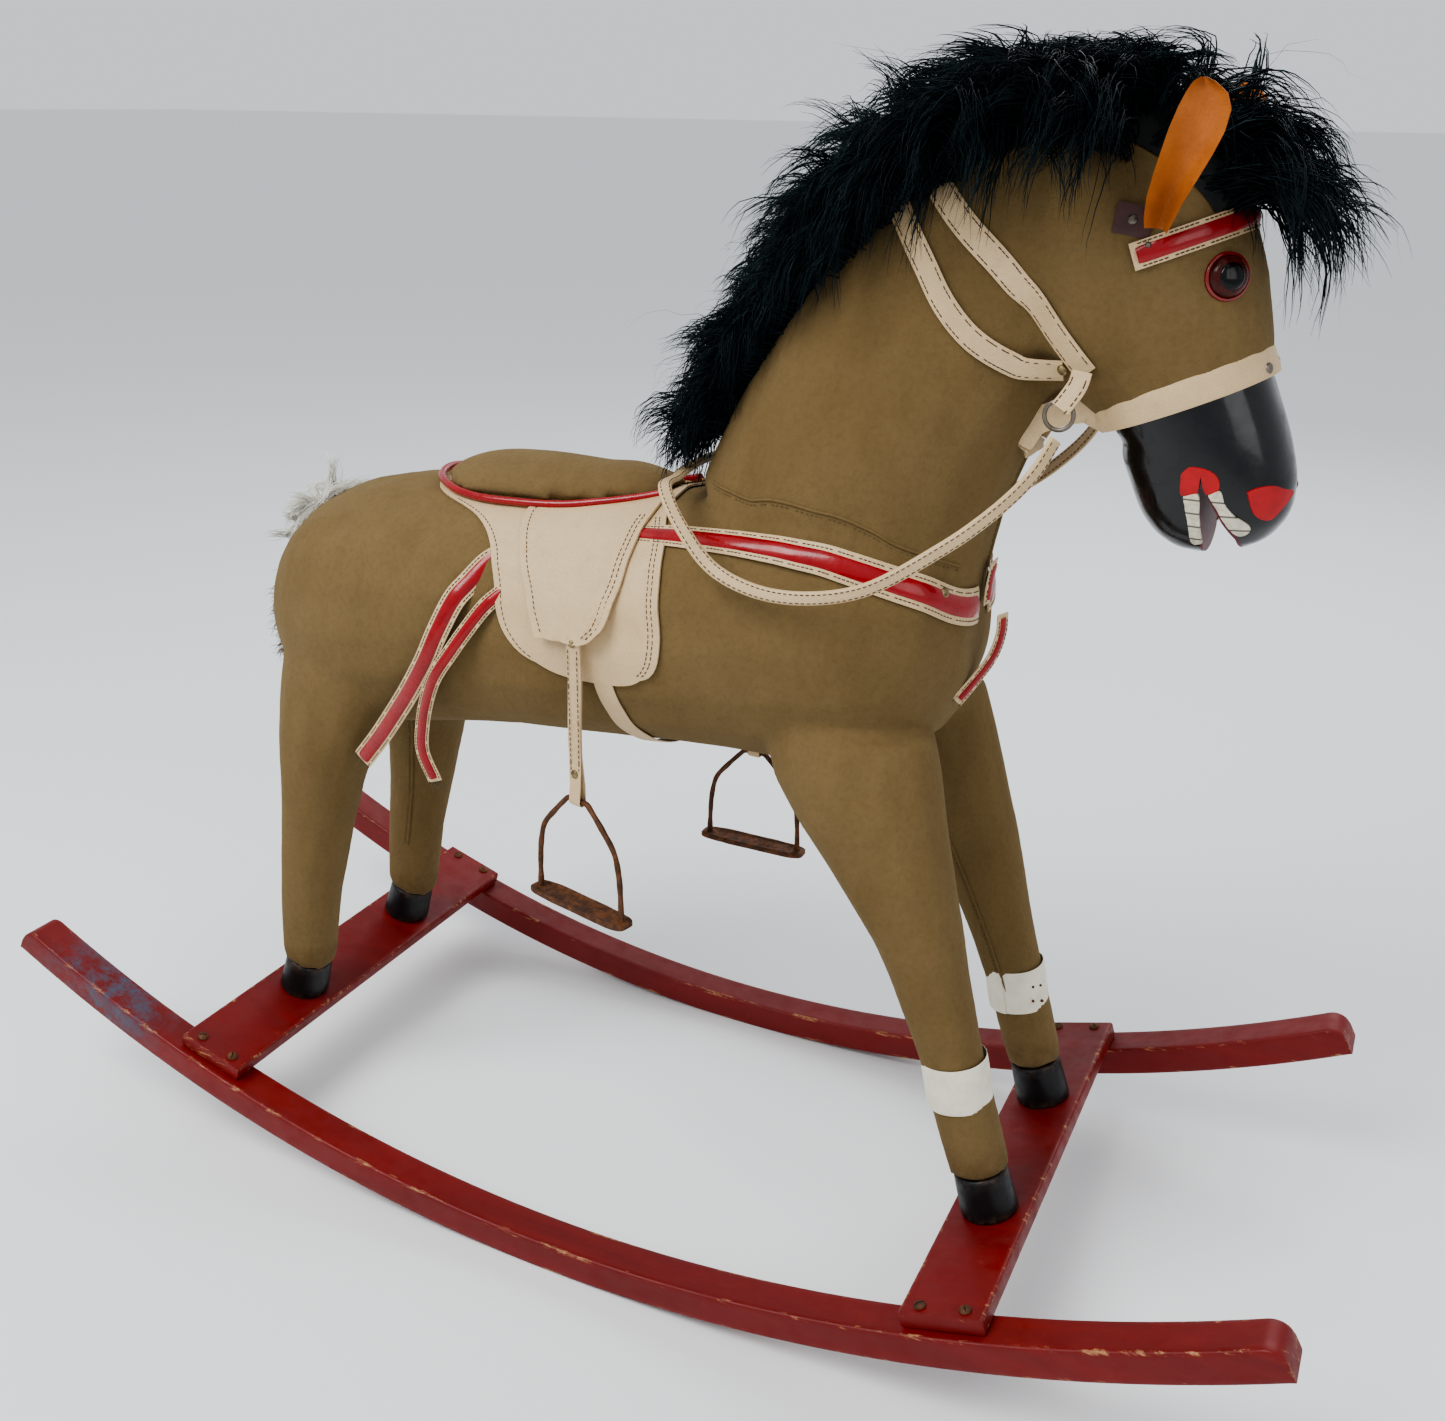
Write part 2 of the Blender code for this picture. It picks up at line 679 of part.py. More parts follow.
SKIRT_ROWS = [
    (0, -0.176, 0.028),
    (20, -0.174, 0.036),
    (32, -0.146, 0.043),
    (44, -0.116, 0.047),
    (56, -0.098, 0.050),
    (68, -0.087, 0.053),
    (80, -0.078, 0.058),
    (90, -0.060, 0.058),
    (96, -0.036, 0.048),
]
KNEE_ROWS = [
    (30, -0.082, 0.033),
    (40, -0.076, 0.034),
    (54, -0.066, 0.033),
    (66, -0.056, 0.028),
    (76, -0.044, 0.020),
    (82, -0.034, 0.010),
]
PAD_FRONT, PAD_REAR, PAD_ANGLE, PAD_HEIGHT = 0.022, -0.186, 21, 0.021
SKIRT_LIFT, KNEE_LIFT, KNEE_BULGE = 0.0014, 0.0042, 0.0100
GIRTH_LIFT = SKIRT_LIFT + STRAP + 0.0006


def saddle_flaps():
    skirt = wrap(both_sides(filled(SKIRT_ROWS)), SKIRT_LIFT, SKIRT_LIFT + STRAP, 8)
    add("saddle_skirt", skirt, "vinyl")
    for name, side in SIDES:
        rings = []
        for angle, x0, x1 in filled(KNEE_ROWS):
            # The lower end stands off the skirt to clear the stirrup leather.
            lift = KNEE_LIFT + KNEE_BULGE * max(0.0, (angle - 54) / 28) ** 1.2
            xs = [x0 + (x1 - x0) * i / 5 for i in range(6)]
            turn = side * radians(angle)
            low = [torso_point(x, turn, lift) for x in xs]
            high = [torso_point(x, turn, lift + STRAP) for x in reversed(xs)]
            rings.append(low + high)
        add(f"knee_flap_{name}", skin(rings), "vinyl")


def pad_edge(angle):
    """Rear and front x of the seat pad at an angle in degrees from the top line."""
    t = min(abs(angle) / PAD_ANGLE, 1.0)
    return PAD_REAR + 0.045 * t**3, PAD_FRONT - 0.010 * t**2


def seat_pad():
    rings = []
    steps = 8
    base = SKIRT_LIFT + STRAP + 2 * GAP
    for angle in (-PAD_ANGLE, -15, -7.5, 0, 7.5, 15, PAD_ANGLE):
        rear, front = pad_edge(angle)
        xs = [rear + (front - rear) * i / steps for i in range(steps + 1)]
        side_rise = 1 - (abs(angle) / PAD_ANGLE) ** 3
        low = [torso_point(x, radians(angle), base) for x in xs]
        high = []
        for x in reversed(xs):
            t = abs(2 * (x - rear) / (front - rear) - 1)
            rise = 0.003 + PAD_HEIGHT * side_rise * (1 - t**4)
            high.append(torso_point(x, radians(angle), base + rise))
        rings.append(low + high)
    add("seat_pad", skin(rings), "plush")


def seat_piping():
    """Round red piping along the rear and both sides of the pad."""
    edge = PAD_ANGLE + 3.5
    lift = SKIRT_LIFT + STRAP + 0.0036
    side_points = [(edge, x) for x in (0.018, -0.020, -0.060, -0.100, -0.132)]
    corner = [(edge - 2, -0.158), (edge - 8, -0.180), (edge - 16, -0.192)]
    half = [torso_point(x, -radians(a), lift) for a, x in side_points + corner]
    path = half + [torso_point(-0.1955, 0, lift)] + mirrored(reversed(half))
    add("seat_piping", tube(smooth_path(path, 2), 0.0030), "red_vinyl")


def girth():
    """Strap from under one knee flap, over the skirt, round the belly to the other."""
    rings = []
    count = 26
    start = 83.5
    for i in range(count + 1):
        angle = start + (360 - 2 * start) * i / count
        near = min(angle, 360 - angle)
        middle = 0.006 + 0.022 * min((near - start) / 60, 1.0)
        lift = max(GIRTH_LIFT - max(near - 102, 0) * 0.0003, 0.0010)
        row = []
        for grow, order in ((lift, (-1, 0, 1)), (lift + STRAP * 0.8, (1, 0, -1))):
            row += [torso_point(middle + 0.0075 * s, -radians(angle), grow) for s in order]
        rings.append(row)
    add("girth", skin(rings), "vinyl")


# ---- stirrups ----


def stirrup(name, side):
    """Leather strap hanging from its rivet, and the iron in its bottom loop."""
    x, loop_z, turn = IRON_LOOP[name]
    hinge = Vector((x, side * LEATHER_Y, LEATHER_TOP))
    pivot = bpy.data.objects.new(f"leather_pivot_{name}", None)
    bpy.context.scene.collection.objects.link(pivot)
    pivot.location = hinge
    drop = LEATHER_TOP - loop_z
    bottom = -drop + 0.004
    shape = bmesh.new()
    bmesh.ops.create_cube(shape, size=1.0)
    bmesh.ops.scale(shape, verts=shape.verts, vec=(LEATHER_WIDTH, LEATHER_THICKNESS, -bottom + 0.004))
    bmesh.ops.translate(shape, verts=shape.verts, vec=(0, 0, (bottom + 0.004) / 2))
    leather = add(f"stirrup_leather_{name}", shape, "vinyl")
    leather.parent = pivot
    half = Vector((LEATHER_WIDTH / 2, 0, 0))
    centre = Vector((0, 0, -drop))
    swivel = Matrix.Rotation(turn, 4, "Z")
    for label, radius, operation, reach in (
        ("loop", 0.0056, "UNION", 1.05),
        ("eye", IRON_WIRE + 0.0006, "DIFFERENCE", 2.0),
    ):
        direction = swivel @ half
        barrel = cylinder(centre - direction * reach, centre + direction * reach, radius, 12)
        helper = add(f"leather_{label}_{name}", barrel, None)
        helper.parent = pivot
        boolean(leather, helper, operation)
    iron_pivot = bpy.data.objects.new(f"iron_pivot_{name}", None)
    bpy.context.scene.collection.objects.link(iron_pivot)
    iron_pivot.parent = pivot
    iron_pivot.location = centre
    iron_pivot.rotation_euler.z = turn
    stirrup_iron(name, iron_pivot)


def stirrup_iron(name, pivot):
    """Bell-shaped wire arch with a flat tread, hanging from its top bar."""
    w, h = IRON_HALF_WIDTH, IRON_HEIGHT
    half = [(0.0, 0.0), (0.0095, 0.0), (0.0150, -0.005), (0.0260, -0.017), (0.0370, -0.031)]
    half += [(0.0415, -0.048), (w - 0.0005, -0.066), (w, -h)]
    right = [Vector((x, 0, z)) for x, z in half]
    left = [Vector((-x, 0, z)) for x, z in reversed(half[1:])]
    iron = add(f"stirrup_iron_{name}", tube(left + right, IRON_WIRE, 8), "rusty_iron")
    iron.parent = pivot
    outline = []
    for i in range(16):
        a = 2 * pi * i / 16
        c, s = superellipse(a, 5)
        outline.append((0.050 * c, 0.0105 * s))
    rings = [[Vector((px, py, z)) for px, py in outline] for z in (-h - 0.003, -h + 0.0015)]
    plate = add(f"tread_{name}", skin(rings), None)
    plate.parent = pivot
    boolean(iron, plate, "UNION")


# ---- bridle and harness ----


def room_for(name, surface, guides, width, lift):
    """A cutter that leaves room in the mane for a strap on the same guides."""
    wider = drape(surface, guides, width + 0.003, lift - 0.0010, STRAP + 0.0022)
    return add(f"{name}_space", wider, None)


def browband(surface):
    """Band over the forehead. Returns its cutter for the mane."""
    guides = loop_guides(BROW_MIDDLE, BROW_FORWARD, 0.080, 64, 16)
    add("browband", drape(surface, guides, BROW_WIDTH, BAND_LIFT), "red_vinyl")
    return room_for("browband", surface, guides, BROW_WIDTH, BAND_LIFT)


def noseband(surface):
    """Band right round the nose, its ends meeting under the jaw."""
    guides = loop_guides(NOSE_MIDDLE, NOSE_FORWARD, 0.055, 178, 26)
    add("noseband", drape(surface, guides, NOSE_WIDTH, BAND_LIFT), "vinyl")


BROW_MIDDLE, BROW_FORWARD, BROW_WIDTH = Vector((0.322, 0, 0.768)), Vector((0.93, 0, 0.367)), 0.0155
NOSE_MIDDLE, NOSE_FORWARD, NOSE_WIDTH = Vector((0.378, 0, 0.697)), Vector((0.913, 0, 0.407)), 0.0175
# Routes of the straps. Each stops at its middle or its own end on the right side.
THROAT = [
    (0.300, -0.052, 0.698),
    (0.287, -0.052, 0.706),
    (0.269, -0.056, 0.714),
    (0.250, -0.060, 0.727),
    (0.233, -0.060, 0.746),
    (0.219, -0.058, 0.768),
    (0.204, -0.050, 0.788),
    (0.188, -0.033, 0.805),
    (0.176, 0, 0.812),
]
HEADSTALL = [
    (0.3225, -0.055, 0.7035),
    (0.302, -0.058, 0.728),
    (0.284, -0.060, 0.751),
    (0.266, -0.060, 0.771),
    (0.244, -0.056, 0.790),
    (0.225, -0.046, 0.808),
    (0.210, -0.026, 0.821),
    (0.204, 0, 0.826),
]
BREAST = [
    (0.058, -0.100, 0.590),
    (0.106, -0.100, 0.594),
    (0.160, -0.100, 0.586),
    (0.213, -0.085, 0.570),
    (0.240, -0.065, 0.557),
    (0.255, -0.045, 0.546),
    (0.262, -0.025, 0.540),
]
CHEST = [
    (0.272, 0, 0.522),
    (0.270, 0, 0.502),
    (0.264, 0, 0.478),
    (0.252, 0, 0.456),
    (0.232, 0, 0.436),
]
FLANK_OUTER = [
    (-0.108, -0.110, 0.530),
    (-0.116, -0.113, 0.512),
    (-0.140, -0.113, 0.461),
    (-0.178, -0.105, 0.409),
    (-0.226, -0.095, 0.353),
]
FLANK_INNER = [
    (-0.0885, -0.113, 0.510),
    (-0.115, -0.113, 0.472),
    (-0.140, -0.107, 0.434),
    (-0.153, -0.101, 0.405),
    (-0.157, -0.098, 0.378),
    (-0.144, -0.097, 0.352),
]
# The points that the straps are pressed towards.
THROAT_MIDDLE = Vector((0.262, 0, 0.750))
HEADSTALL_MIDDLE = Vector((0.280, 0, 0.752))
BREAST_MIDDLE = Vector((0.150, 0, 0.560))
CHEST_MIDDLE = Vector((0.180, 0, 0.500))
REIN = [
    (0.3145, -0.0690, 0.6690),
    (0.3050, -0.0800, 0.6480),
    (0.2860, -0.0900, 0.6250),
    (0.2560, -0.1020, 0.5990),
    (0.2080, -0.1140, 0.5680),
    (0.1540, -0.1190, 0.5580),
    (0.1090, -0.1190, 0.5680),
    (0.0800, -0.1150, 0.5940),
    (0.0560, -0.0940, 0.6140),
    (0.0440, -0.0560, 0.6120),
    (0.0390, -0.0200, 0.6130),
]
RING_CENTRE, RING_RADIUS, RING_WIRE = (0.3140, 0.0650, 0.6835), 0.0090, 0.0014


def bit_ring(name, side):
    x, y, z = RING_CENTRE
    centre = Vector((x, side * y, z))
    turn = (2 * pi * i / 16 for i in range(16))
    points = [centre + Vector((RING_RADIUS * cos(a), 0, RING_RADIUS * sin(a))) for a in turn]
    add(f"bit_ring_{name}", tube(points, RING_WIRE, 6, cyclic=True), "steel")


def reins():
    """One free strap from bit ring to bit ring over the withers, as a round guide solid."""
    half = [Vector(p) for p in REIN]
    path = smooth_path(half + mirrored(reversed(half)), 2)
    curve = bpy.data.curves.new("reins", "CURVE")
    curve.dimensions = "3D"
    curve.bevel_depth = REIN_RADIUS
    curve.bevel_resolution = 2
    curve.use_fill_caps = True
    spline = curve.splines.new("POLY")
    spline.points.add(len(path) - 1)
    for point, place in zip(spline.points, path):
        point.co = (*place, 1)
    curve.materials.append(material("vinyl"))
    obj = bpy.data.objects.new("reins", curve)
    bpy.context.scene.collection.objects.link(obj)


def poll_strap(name, half, middle, width, lift, surface):
    """A strap from cheek to cheek over the poll. Returns its cutter for the mane."""
    half = [Vector(p) for p in half]
    path = smooth_path(half + mirrored(reversed(half[:-1])), 2)
    guides = [(p, (middle - p).normalized()) for p in path]
    add(name, drape(surface, guides, width, lift), "vinyl")
    return room_for(name, surface, guides, width, lift)


def harness(surface):
    for name, side in SIDES:
        path = smooth_path([Vector((x, -side * y, z)) for x, y, z in BREAST], 4)
        guides = [(p, (BREAST_MIDDLE - p).normalized()) for p in path]
        widths = [0.0165 + 0.0095 * i / (len(path) - 1) for i in range(len(path))]
        breast = drape(surface, guides, None, 0.0020, widths=widths)
        add(f"breast_band_{name}", breast, "red_vinyl")
    path = smooth_path([Vector(p) for p in CHEST], 2)
    guides = [(p, (CHEST_MIDDLE - p).normalized()) for p in path]
    add("chest_strap", drape(surface, guides, 0.012, 0.0024), "red_vinyl")
    outer = drape(surface, side_guides(FLANK_OUTER), 0.018, 0.0030)
    add("flank_strap_outer", outer, "red_vinyl")
    inner = drape(surface, side_guides(FLANK_INNER), 0.012, 0.0058)
    add("flank_strap_inner", inner, "red_vinyl")


# ---- face, mane and tail ----


def eye(name, side, surface):
    """A domed glass eye, just proud of the cheek."""
    spot, normal = surface.hit(Vector((0.398, side * 0.06, 0.768)), Vector((0, -side, 0)))
    frame = normal.to_track_quat("Z", "Y").to_matrix().to_4x4()
    frame.translation = spot + normal * 0.0022
    rings = []
    dome = ((0.0135, 0.0), (0.0135, 0.0012), (0.0115, 0.0040), (0.0070, 0.0062), (0.0022, 0.0070))
    for radius, height in dome:
        turn = (2 * pi * i / 16 for i in range(16))
        rings.append([Vector((radius * cos(a), radius * sin(a), height)) for a in turn])
    add(f"eye_{name}", skin(rings), "eye", frame)


def ear(name, side):
    """A leaf of leather, curled along its length, standing beside the head."""
    rows = [(0.0, 0.0065, 0.360), (0.2, 0.0105, 0.363), (0.42, 0.0135, 0.369)]
    rows += [(0.65, 0.0145, 0.376), (0.84, 0.0115, 0.379), (1.0, 0.0030, 0.375)]
    rings = []
    for t, half, middle in rows:
        z = 0.7955 + 0.0795 * t
        y = 0.0555 + 0.0075 * sin(pi * t * 0.6)
        row = []
        for shift, order in ((0.0, (-1, -0.4, 0.4, 1)), (0.0022, (1, 0.4, -0.4, -1))):
            for s in order:
                curl = 0.006 * s * s
                row.append(Vector((middle + half * s, side * (y + curl + shift), z)))
        rings.append(row)
    add(f"ear_{name}", skin(rings), "leather")


def mane(cutters):
    rings = []
    for x, z, tilt, depth, width in numbered(MANE, 2):
        rings.append(ring(x, z, tilt, depth, width, sides=12))
    piece = add("mane", skin(rings), "black")
    for cutter in cutters:
        boolean(piece, cutter, solver="MANIFOLD")
    boolean(piece, add("mane_neck_space", neck_shape(GAP * 2), None), solver="MANIFOLD")
    boolean(piece, add("mane_head_space", head_shape(GAP * 2), None), solver="MANIFOLD")
    boolean(piece, add("mane_torso_space", torso_shape(GAP * 2), None), solver="MANIFOLD")


def tail():
    rings = []
    start, end = TAIL_LINE
    for t, radius in ((0.0, 0.010), (0.3, 0.017), (0.7, 0.018), (1.0, 0.009)):
        centre = start.lerp(end, t)
        rings.append(ring(centre.x, centre.z, TAIL_TILT, radius, radius, sides=10))
    piece = add("tail_tuft", skin(rings), "white_hair")
    boolean(piece, add("tail_space", torso_shape(GAP * 2), None))


def main():
    clear_scene()
    rails = {name: rocker(f"rocker_{name}", side) for name, side in SIDES}
    bores, sockets = [], []
    for which in ("front", "rear"):
        plank = board(which)
        board_screws(which, plank, rails)
        for name, side in SIDES:
            bore, socket = leg(which, name, side, plank)
            bores.append(bore)
            sockets.append(socket)
    for name, side in SIDES:
        leg_band(name, side)
    neck_bore = wooden_frame(bores)
    torso(bores, sockets, neck_bore)
    neck_and_head(neck_bore)
    muzzle()
    surface = Surface()
    saddle_flaps()
    seat_pad()
    seat_piping()
    girth()
    for name, side in SIDES:
        stirrup(name, side)
        bit_ring(name, side)
        eye(name, side, surface)
        ear(name, side)
    harness(surface)
    noseband(surface)
    headstall = poll_strap("headstall", HEADSTALL, HEADSTALL_MIDDLE, 0.0155, BAND_LIFT, surface)
    lift = BAND_LIFT + STRAP + 2 * GAP
    throat = poll_strap("throat_strap", THROAT, THROAT_MIDDLE, 0.0125, lift, surface)
    mane([browband(surface), headstall, throat])
    tail()
    reins()


main()
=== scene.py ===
"""Looks of the plush rocking horse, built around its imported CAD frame.

+X is the way the horse faces, +Y its left and +Z up, in metres. Routes repeat part.py's points.
"""

import math
import random

import bmesh
import bpy
import numpy as np
from mathutils import Matrix, Vector, noise
from mathutils.bvhtree import BVHTree


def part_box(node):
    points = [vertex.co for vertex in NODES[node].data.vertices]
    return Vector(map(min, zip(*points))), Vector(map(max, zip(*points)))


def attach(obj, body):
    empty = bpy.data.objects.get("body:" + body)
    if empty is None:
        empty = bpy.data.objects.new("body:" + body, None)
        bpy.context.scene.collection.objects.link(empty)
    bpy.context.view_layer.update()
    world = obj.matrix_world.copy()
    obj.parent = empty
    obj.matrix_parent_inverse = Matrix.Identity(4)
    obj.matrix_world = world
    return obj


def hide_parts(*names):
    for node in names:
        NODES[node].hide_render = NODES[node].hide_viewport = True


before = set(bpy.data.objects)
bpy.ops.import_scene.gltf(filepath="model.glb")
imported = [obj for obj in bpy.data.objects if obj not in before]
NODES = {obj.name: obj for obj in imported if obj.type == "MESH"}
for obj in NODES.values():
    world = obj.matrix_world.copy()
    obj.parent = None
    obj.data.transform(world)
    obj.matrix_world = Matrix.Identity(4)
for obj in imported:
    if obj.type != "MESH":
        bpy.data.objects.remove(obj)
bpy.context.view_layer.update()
BODY = "horse"
SIDES = (("right", -1), ("left", 1))
X, Y, Z = Vector((1, 0, 0)), Vector((0, 1, 0)), Vector((0, 0, 1))


# ---- camera, light and floor ----


def set_camera():
    data = bpy.data.cameras.new("camera")
    data.sensor_fit = "HORIZONTAL"
    data.sensor_width = 36.0
    data.lens = 37.03
    camera = bpy.data.objects.new("camera", data)
    right = Vector((0.89718, 0.44151, 0.01151))
    down = Vector((0.17785, -0.33731, -0.92444))
    ahead = Vector((-0.40426, 0.83144, -0.38115))
    turn = Matrix((right, -down, -ahead)).transposed().to_4x4()
    camera.matrix_world = Matrix.Translation((0.5291, -0.9728, 0.8609)) @ turn
    bpy.context.scene.collection.objects.link(camera)
    bpy.context.scene.camera = camera


def area_light(name, place, target, size, power, colour=(1, 1, 1)):
    data = bpy.data.lights.new(name, "AREA")
    data.size = size
    data.energy = power
    data.color = colour
    lamp = bpy.data.objects.new(name, data)
    lamp.location = place
    lamp.rotation_mode = "QUATERNION"
    lamp.rotation_quaternion = (Vector(target) - Vector(place)).to_track_quat("-Z", "Y")
    bpy.context.scene.collection.objects.link(lamp)


def set_stage():
    area_light("key", (-0.9, -1.6, 2.6), (0, 0, 0.4), 1.5, 66)
    area_light("fill", (2.3, -1.4, 1.6), (0.1, 0, 0.4), 1.6, 14)
    area_light("back", (0.2, 2.2, 2.1), (0, 0, 0.5), 2.0, 22)
    world = bpy.data.worlds.new("studio")
    world.use_nodes = True
    world.node_tree.nodes["Background"].inputs["Color"].default_value = (0.93, 0.96, 1.0, 1)
    world.node_tree.nodes["Background"].inputs["Strength"].default_value = 0.74
    bpy.context.scene.world = world
    mesh = bpy.data.meshes.new("floor")
    far = 60.0
    corners = [(-far, -far, 0), (far, -far, 0), (far, far, 0), (-far, far, 0)]
    mesh.from_pydata(corners, [], [(0, 1, 2, 3)])
    floor = bpy.data.objects.new("floor", mesh)
    bpy.context.scene.collection.objects.link(floor)
    paint = Surface("floor_paint", (0.80, 0.815, 0.82), 0.6)
    mesh.materials.append(paint.done())
    bpy.context.scene.view_settings.view_transform = "AgX"
    bpy.context.scene.view_settings.look = "AgX - Medium High Contrast"


# ---- materials ----


class Surface:
    """A Principled material under construction, with object coordinates in metres."""

    def __init__(self, name, colour, roughness, metallic=0.0, **constants):
        self.material = bpy.data.materials.new(name)
        self.material.use_nodes = True
        self.tree = self.material.node_tree
        self.shader = self.tree.nodes["Principled BSDF"]
        self.shader.inputs["Base Color"].default_value = (*colour, 1)
        self.shader.inputs["Roughness"].default_value = roughness
        self.shader.inputs["Metallic"].default_value = metallic
        for key, value in constants.items():
            self.shader.inputs[key.replace("_", " ")].default_value = value
        self.place = self.tree.nodes.new("ShaderNodeTexCoord").outputs["Object"]
        self.colour = None
        self.base = colour
        self.height = None

    def node(self, kind, **values):
        made = self.tree.nodes.new(kind)
        for key, value in values.items():
            setattr(made, key, value)
        return made

    def link(self, out, into):
        self.tree.links.new(out, into)

    def stretched(self, scale):
        mapping = self.node("ShaderNodeMapping")
        mapping.inputs["Scale"].default_value = scale
        self.link(self.place, mapping.inputs["Vector"])
        return mapping.outputs["Vector"]

    def noise(self, scale, detail=3.0, rough=0.55, stretch=None, distortion=0.0):
        made = self.node("ShaderNodeTexNoise")
        made.inputs["Scale"].default_value = scale
        made.inputs["Detail"].default_value = detail
        made.inputs["Roughness"].default_value = rough
        made.inputs["Distortion"].default_value = distortion
        self.link(self.stretched(stretch) if stretch else self.place, made.inputs["Vector"])
        return made.outputs["Fac"]

    def voronoi(self, scale, feature="F1", stretch=None):
        made = self.node("ShaderNodeTexVoronoi", feature=feature)
        made.inputs["Scale"].default_value = scale
        self.link(self.stretched(stretch) if stretch else self.place, made.inputs["Vector"])
        return made.outputs["Distance"]

    def ramp(self, value, *stops):
        """Stops are pairs: position, then grey value or colour."""
        made = self.node("ShaderNodeValToRGB")
        while len(made.color_ramp.elements) < len(stops):
            made.color_ramp.elements.new(0.5)
        for element, (position, tone) in zip(made.color_ramp.elements, stops):
            element.position = position
            element.color = (*tone, 1) if isinstance(tone, tuple) else (tone, tone, tone, 1)
        self.link(value, made.inputs["Fac"])
        return made.outputs["Color"]

    def attribute(self, name):
        return self.node("ShaderNodeAttribute", attribute_name=name).outputs["Fac"]

    def maths(self, operation, a, b, clamp=False):
        made = self.node("ShaderNodeMath", operation=operation, use_clamp=clamp)
        for socket, value in zip(made.inputs, (a, b)):
            if isinstance(value, (int, float)):
                socket.default_value = value
            else:
                self.link(value, socket)
        return made.outputs["Value"]

    def paint(self, mask, colour, blend="MIX"):
        """Lays another colour, or colour output, over the present one where the mask is high."""
        made = self.node("ShaderNodeMix", data_type="RGBA", blend_type=blend)
        factor, a, b = made.inputs[0], made.inputs[6], made.inputs[7]
        if isinstance(mask, (int, float)):
            factor.default_value = mask
        else:
            self.link(mask, factor)
        if self.colour is None:
            a.default_value = (*self.base, 1)
        else:
            self.link(self.colour, a)
        if isinstance(colour, tuple):
            b.default_value = (*colour, 1)
        else:
            self.link(colour, b)
        self.colour = made.outputs[2]

    def roughness(self, value):
        self.link(value, self.shader.inputs["Roughness"])

    def bump(self, height, distance, strength=1.0):
        made = self.node("ShaderNodeBump")
        made.inputs["Strength"].default_value = strength
        made.inputs["Distance"].default_value = distance
        self.link(height, made.inputs["Height"])
        if self.height is not None:
            self.link(self.height, made.inputs["Normal"])
        self.height = made.outputs["Normal"]

    def done(self):
        if self.colour is not None:
            self.link(self.colour, self.shader.inputs["Base Color"])
        if self.height is not None:
            self.link(self.height, self.shader.inputs["Normal"])
        return self.material


def plush_material(name="plush", base=(0.138, 0.092, 0.040)):
    made = Surface(name, base, 0.93, Sheen_Weight=0.10, Sheen_Roughness=0.45, Specular_IOR_Level=0.10)
    made.shader.inputs["Sheen Tint"].default_value = (0.75, 0.66, 0.42, 1)
    broad = made.noise(5.5, 4.0, 0.6)
    made.paint(made.ramp(broad, (0.38, 0.0), (0.70, 0.75)), (0.180, 0.125, 0.060))
    patches = made.noise(17.0, 5.0, 0.65, stretch=(1, 1, 0.45))
    made.paint(made.ramp(patches, (0.50, 0.0), (0.72, 0.30)), (0.095, 0.061, 0.024))
    streaks = made.noise(60.0, 3.0, 0.6, stretch=(1.0, 1.0, 0.30))
    made.paint(made.ramp(streaks, (0.40, 0.0), (0.75, 0.16)), (0.220, 0.150, 0.062))
    flecks = made.noise(240.0, 3.0, 0.7)
    made.paint(made.ramp(flecks, (0.44, 0.0), (0.66, 0.20)), (0.080, 0.048, 0.016))
    worn = made.attribute("wear")
    made.paint(made.maths("MULTIPLY", worn, made.ramp(made.noise(70.0, 5.0, 0.7), (0.35, 0.2), (0.6, 1.0))),
               (0.060, 0.028, 0.010))
    pile = made.noise(900.0, 2.0, 0.7)
    made.bump(pile, 0.0007, 0.55)
    made.bump(made.noise(210.0, 4.0, 0.6, stretch=(1, 1, 0.5)), 0.0012, 0.5)
    made.bump(made.noise(34.0, 4.0, 0.55), 0.0028, 0.45)
    return made.done()


def vinyl_material(name="cream_vinyl", base=(0.62, 0.455, 0.255)):
    made = Surface(name, base, 0.5, Coat_Weight=0.12, Coat_Roughness=0.35)
    made.paint(made.ramp(made.noise(22.0, 5.0, 0.65), (0.42, 0.0), (0.72, 0.65)), (0.50, 0.345, 0.175))
    made.paint(made.ramp(made.noise(75.0, 4.0, 0.7), (0.55, 0.0), (0.78, 0.45)), (0.42, 0.285, 0.150))
    made.paint(made.ramp(made.noise(11.0, 3.0, 0.5), (0.50, 0.0), (0.80, 0.5)), (0.72, 0.56, 0.345))
    grain = made.voronoi(760.0, "DISTANCE_TO_EDGE")
    made.paint(made.ramp(grain, (0.0, 0.30), (0.14, 0.0)), (0.40, 0.31, 0.22))
    made.roughness(made.ramp(made.noise(130.0, 3.0), (0.3, 0.38), (0.7, 0.62)))
    made.bump(made.ramp(grain, (0.0, 0.0), (0.2, 1.0)), 0.00025, 0.7)
    made.bump(made.noise(60.0, 4.0, 0.6), 0.0010, 0.35)
    return made.done()


def red_vinyl_material(name="red_vinyl", base=(0.27, 0.0015, 0.004)):
    made = Surface(name, base, 0.24, Coat_Weight=0.35, Coat_Roughness=0.10, Specular_IOR_Level=0.3)
    made.paint(made.ramp(made.noise(40.0, 4.0, 0.6), (0.48, 0.0), (0.75, 0.7)), (0.17, 0.0015, 0.004))
    made.paint(made.ramp(made.noise(170.0, 4.0, 0.7), (0.62, 0.0), (0.78, 0.6)), (0.12, 0.008, 0.006))
    made.roughness(made.ramp(made.noise(90.0, 3.0), (0.35, 0.18), (0.72, 0.42)))
    made.bump(made.noise(95.0, 3.0, 0.55), 0.0010, 0.35)
    return made.done()


